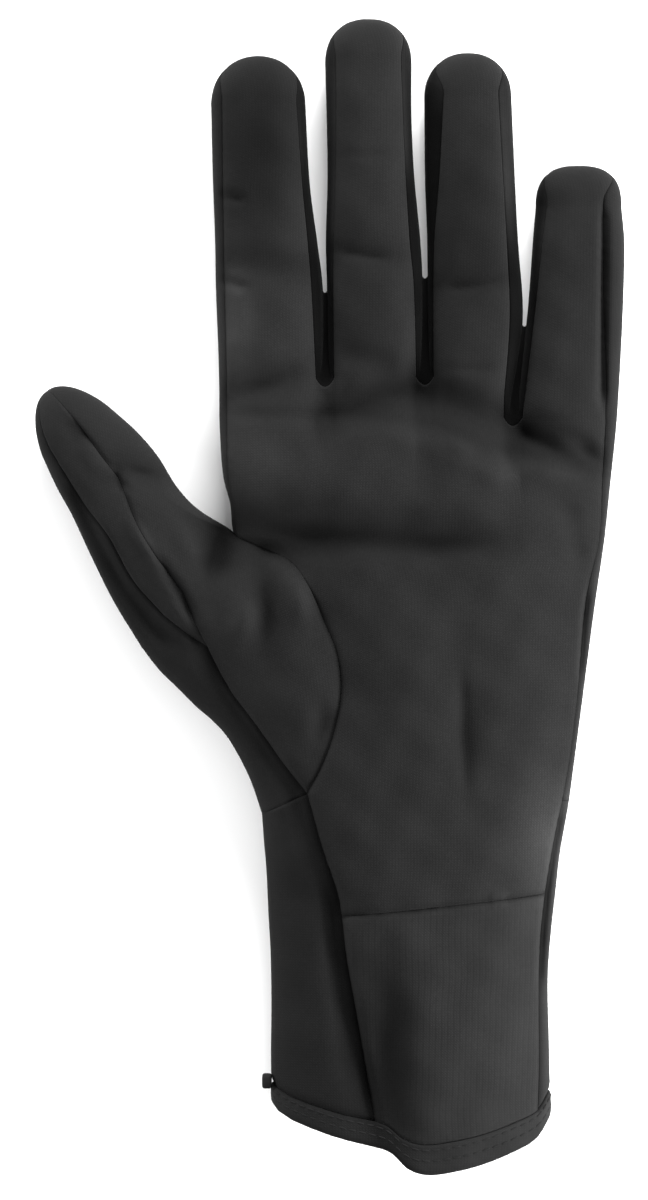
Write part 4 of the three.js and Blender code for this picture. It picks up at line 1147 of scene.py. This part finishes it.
# %% The knit's formula, as steps
wale, course, relief = 0.72, 0.6, 0.05  # width, length and height of a loop, in mm
v_slant = 1.3  # how far each half of a loop slants, in courses for a whole wale
rib_pitch = 1.45
noises = {"clouds": (14, 3.0), "fuzz": (0.9, 2.0)}  # size of the spots in mm, and detail
spot_share, loop_share = 0.4, 0.35  # how far each takes the colour from the dark to the light grey; the loops' part is light painted on their crests
fuzz_height, rib_height = 0.7, 0.3  # as shares of a loop's height
knit_steps = [  # a value's name, then what makes it: u runs round the glove, v down it
    ("wales", "DIVIDE", "u", wale),
    ("across", "FRACT", "wales"),
    ("from middle", "SUBTRACT", "across", 0.5),
    ("bend", "ABSOLUTE", "from middle"),
    ("courses", "DIVIDE", "v", course),
    ("down", "MULTIPLY_ADD", "bend", v_slant, "courses"),
    ("turn down", "MULTIPLY", "down", 2 * np.pi),
    ("wave down", "SINE", "turn down"),
    ("loop", "MULTIPLY_ADD", "wave down", 0.5, 0.5),
    ("turn across", "MULTIPLY", "across", np.pi),
    ("column", "SINE", "turn across"),
    ("knit", "MULTIPLY", "loop", "column"),
    ("spots", "ADD", "clouds", "fuzz"),
    ("pale spots", "MULTIPLY", "spots", spot_share),
    ("loop_light_and_spots", "MULTIPLY_ADD", "knit", loop_share, "pale spots"),
    ("height", "MULTIPLY_ADD", "fuzz", fuzz_height, "knit"),
]
rib_steps = [
    ("turn of a rib", "MULTIPLY", "u", 2 * np.pi / rib_pitch),
    ("rib", "SINE", "turn of a rib"),
    ("height", "MULTIPLY_ADD", "rib", rib_height, "height"),
]
print("loops in 10 mm:", round(10 / wale, 1), "across and", round(10 / course, 1), "down")

# %% Knitted cloth
def knitted(name, light, dark, ribbed=False):
    """Knit loops on the flat map: across a wale a half sine, down it a sine that the wale bends into a V."""
    material, tree = new_material(name)
    flat_map = node(tree, "ShaderNodeUVMap", uv_map="cloth").outputs[0]
    flat = node(tree, "ShaderNodeSeparateXYZ", {0: flat_map})
    values = {"u": flat.outputs[0], "v": flat.outputs[1]}
    where = node(tree, "ShaderNodeTexCoord").outputs["Object"]
    for noise, (size, detail) in noises.items():
        settings = {"Vector": where, "Scale": 1000 / size, "Detail": detail}
        values[noise] = node(tree, "ShaderNodeTexNoise", settings).outputs[0]
    for made, operation, *given in knit_steps + (rib_steps if ribbed else []):
        inputs = {i: values.get(value, value) for i, value in enumerate(given)}
        values[made] = node(tree, "ShaderNodeMath", inputs, operation=operation).outputs[0]

    # From the dark to the light grey: painted light on each loop's crest and painted shade between the loops,
    # and random pale spots.
    grey = node(tree, "ShaderNodeMix", {"Factor": values["loop_light_and_spots"]}, data_type="RGBA")
    grey.inputs["A"].default_value = linear(dark)
    grey.inputs["B"].default_value = linear(light)
    # Each point's painted light and shade, worked out in shade_of, scales the colour.
    painted_shading_here = node(tree, "ShaderNodeAttribute", attribute_name="painted_shading").outputs["Fac"]
    shaded = node(tree, "ShaderNodeVectorMath", {0: grey.outputs["Result"], "Scale": painted_shading_here},
                  operation="SCALE").outputs[0]
    bump = node(tree, "ShaderNodeBump", {"Height": values["height"], "Strength": 0.6,
                                         "Distance": relief / 1000})
    cloth = node(tree, "ShaderNodeBsdfPrincipled", {
        "Base Color": shaded, "Roughness": 0.88, "IOR": 1.46, "Specular IOR Level": 0.04,
        "Sheen Weight": 0.01, "Sheen Roughness": 0.5, "Normal": bump.outputs[0]})
    node(tree, "ShaderNodeOutputMaterial", {"Surface": cloth.outputs[0]})
    return material


finishes = {
    "palm_cloth": knitted("brushed jersey", "#1b1b1b", "#0f0f0f"),  # napped, so soft and dull
    "back_cloth": knitted("dense jersey", "#181818", "#0d0d0d"),  # close loops, which look blacker
    "side_cloth": knitted("side strip jersey", "#1c1c1c", "#0f0f0f"),  # the palm's, but deep in shade
    "cuff_cloth": knitted("ribbed jersey", "#1e1e1e", "#111111", ribbed=True),  # fine ribs down the cuff
    "hem_cloth": knitted("turned hem jersey", "#1d1d1d", "#101010"),  # stretched flat, so a little paler
}
print("finishes:", *(material.name + "," for material in finishes.values()))

# %% The cut pieces, each on its model's node
slots = {
    "palm_panel": "palm_cloth", "thumb_front": "palm_cloth", "back_panel": "back_cloth",
    "thumb_back": "back_cloth", "cuff_back": "back_cloth", "thumb_side_strip": "side_cloth",
    "cuff_front": "cuff_cloth", "cuff_hem": "hem_cloth", **{name: "side_cloth" for name in fourchettes},
}


def settle(piece, slot, *nodes):
    """The piece moves with the glove and stands for its nodes. The slot is not used."""
    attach(piece, "root")
    if nodes:
        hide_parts(*nodes)


for name, slot_name in slots.items():
    settle(cloth_piece(name, finishes[slot_name], hem_proud if name == "cuff_hem" else 0.0), slot_name, name)

# %% [markdown]
# ## The hem's stitches and its end of tape
#
# The hem is turned in and held by two rows of machine stitches in thread of the cloth's own grey. Each
# stitch is a short rounded bead of thread that lies along the row, half sunk in the cloth. They are one
# mesh a row, made from one small bead that is set at equal steps along the row.

# %% A bead of thread
# Spun polyester is as dull as the cloth, so only the stitches' relief catches the eye.
thread_material, tree = new_material("polyester thread")
thread = node(tree, "ShaderNodeBsdfPrincipled", {
    "Base Color": linear("#171717"), "Roughness": 0.9, "IOR": 1.5, "Specular IOR Level": 0.04})
node(tree, "ShaderNodeOutputMaterial", {"Surface": thread.outputs[0]})


def bead(around=8, rings=4, boxiness=2.0):
    """A closed superellipsoid of half size 1 along x, y and z: rings round x between two poles."""
    power = 2 / boxiness
    lift = np.radians(np.linspace(-90, 90, rings + 2)[1:-1])[:, None]
    turn = np.linspace(0, 2 * np.pi, around, endpoint=False)[None]

    def curve(value):
        return np.sign(value) * np.abs(value) ** power

    ring = place(curve(np.sin(lift)), curve(np.cos(lift)) * curve(np.cos(turn)),
                 curve(np.cos(lift)) * curve(np.sin(turn))).reshape(-1, 3)
    vertices = np.vstack([ring, [[-1, 0, 0]], [[1, 0, 0]]])
    ids = np.arange(rings * around).reshape(rings, around)
    following = np.roll(ids, -1, axis=1)
    quads = np.stack([ids[:-1], following[:-1], following[1:], ids[1:]], -1).reshape(-1, 4)
    first = np.stack([following[0], ids[0], np.full(around, rings * around)], -1)
    last = np.stack([ids[-1], following[-1], np.full(around, rings * around + 1)], -1)
    return vertices, [quads, np.vstack([first, last])]


stitch_pitch = 2.4
stitch_half = np.array([0.95, 0.22, 0.13])
stitch_proud = 0.02
stitch_rows = {"hem_stitches_upper": 0.905, "hem_stitches_lower": 0.945}  # as shares of the cuff's length


def stitch_row(name, path, outwards):
    """Beads at equal steps round a closed path, each turned along it and pressed flat on the cloth."""
    line, ups = (np.vstack([rows, rows[:1]]) for rows in (path, outwards))
    keys = travelled(line)
    count = int(keys[-1] / stitch_pitch)
    middles = (np.arange(count) + 0.5) * keys[-1] / count
    step = stitch_pitch / 6
    run = unit(read_line(line, keys, middles + step) - read_line(line, keys, middles - step))
    up = unit(read_line(ups, keys, middles))
    beside = unit(np.cross(up, run))
    up = np.cross(run, beside)
    shape, corner_sets = bead()
    frames = np.stack([run, beside, up], 1)
    vertices = read_line(line, keys, middles)[:, None] + (shape * stitch_half)[None] @ frames
    first = len(shape) * np.arange(count)[:, None, None]
    corner_sets = [(corners[None] + first).reshape(-1, corners.shape[1]) for corners in corner_sets]
    made = make_object(name, to_model(vertices.reshape(-1, 3)), corner_sets, thread_material)
    print(name, count, "stitches,", open_edges(corner_sets), "open edges")
    return made


def cuff_row(share):
    """A row round the hem at a share of the cuff's length, and the direction out of the cloth along it."""
    shares = np.array([share, share + 0.01])
    faces = [creased(hand_grid(face, 3, shares)) for face in ("front", "right", "under", "left")]
    rows = np.concatenate([face[:, :-1] for face in faces], axis=1)
    round_it = np.roll(rows[0], -1, axis=0) - np.roll(rows[0], 1, axis=0)
    outwards = unit(np.cross(rows[1] - rows[0], round_it))
    row = rows[0] + outwards * (hem_proud + stitch_proud)
    row[:, 2] = np.maximum(row[:, 2], stitch_half[2])
    return row, outwards


for name, share in stitch_rows.items():
    settle(stitch_row(name, *cuff_row(share)), "hem_cloth")

# %% The end of tape in the hem's left side
tape_tuck = 0.9  # how much further than the plain solid it runs into the hem
low, high = (np.array(corner) * 1000 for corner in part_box("hem_nub"))
high[0] += tape_tuck
shape, corner_sets = bead(around=24, rings=14, boxiness=4.5)
tape = make_object("hem_tape_end", ((low + high) / 2 + shape * (high - low) / 2) / 1000, corner_sets,
                   thread_material)
settle(tape, "hem_cloth", "hem_nub")
print("tape:", np.round(high - low, 1), "mm,", open_edges(corner_sets), "open edges")

# %% [markdown]
# ## Size
#
# The box round everything shown but the floor is measured. The dressed glove may stand proud of the
# model by no more than fabric does.

# %% Sizes
low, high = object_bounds()
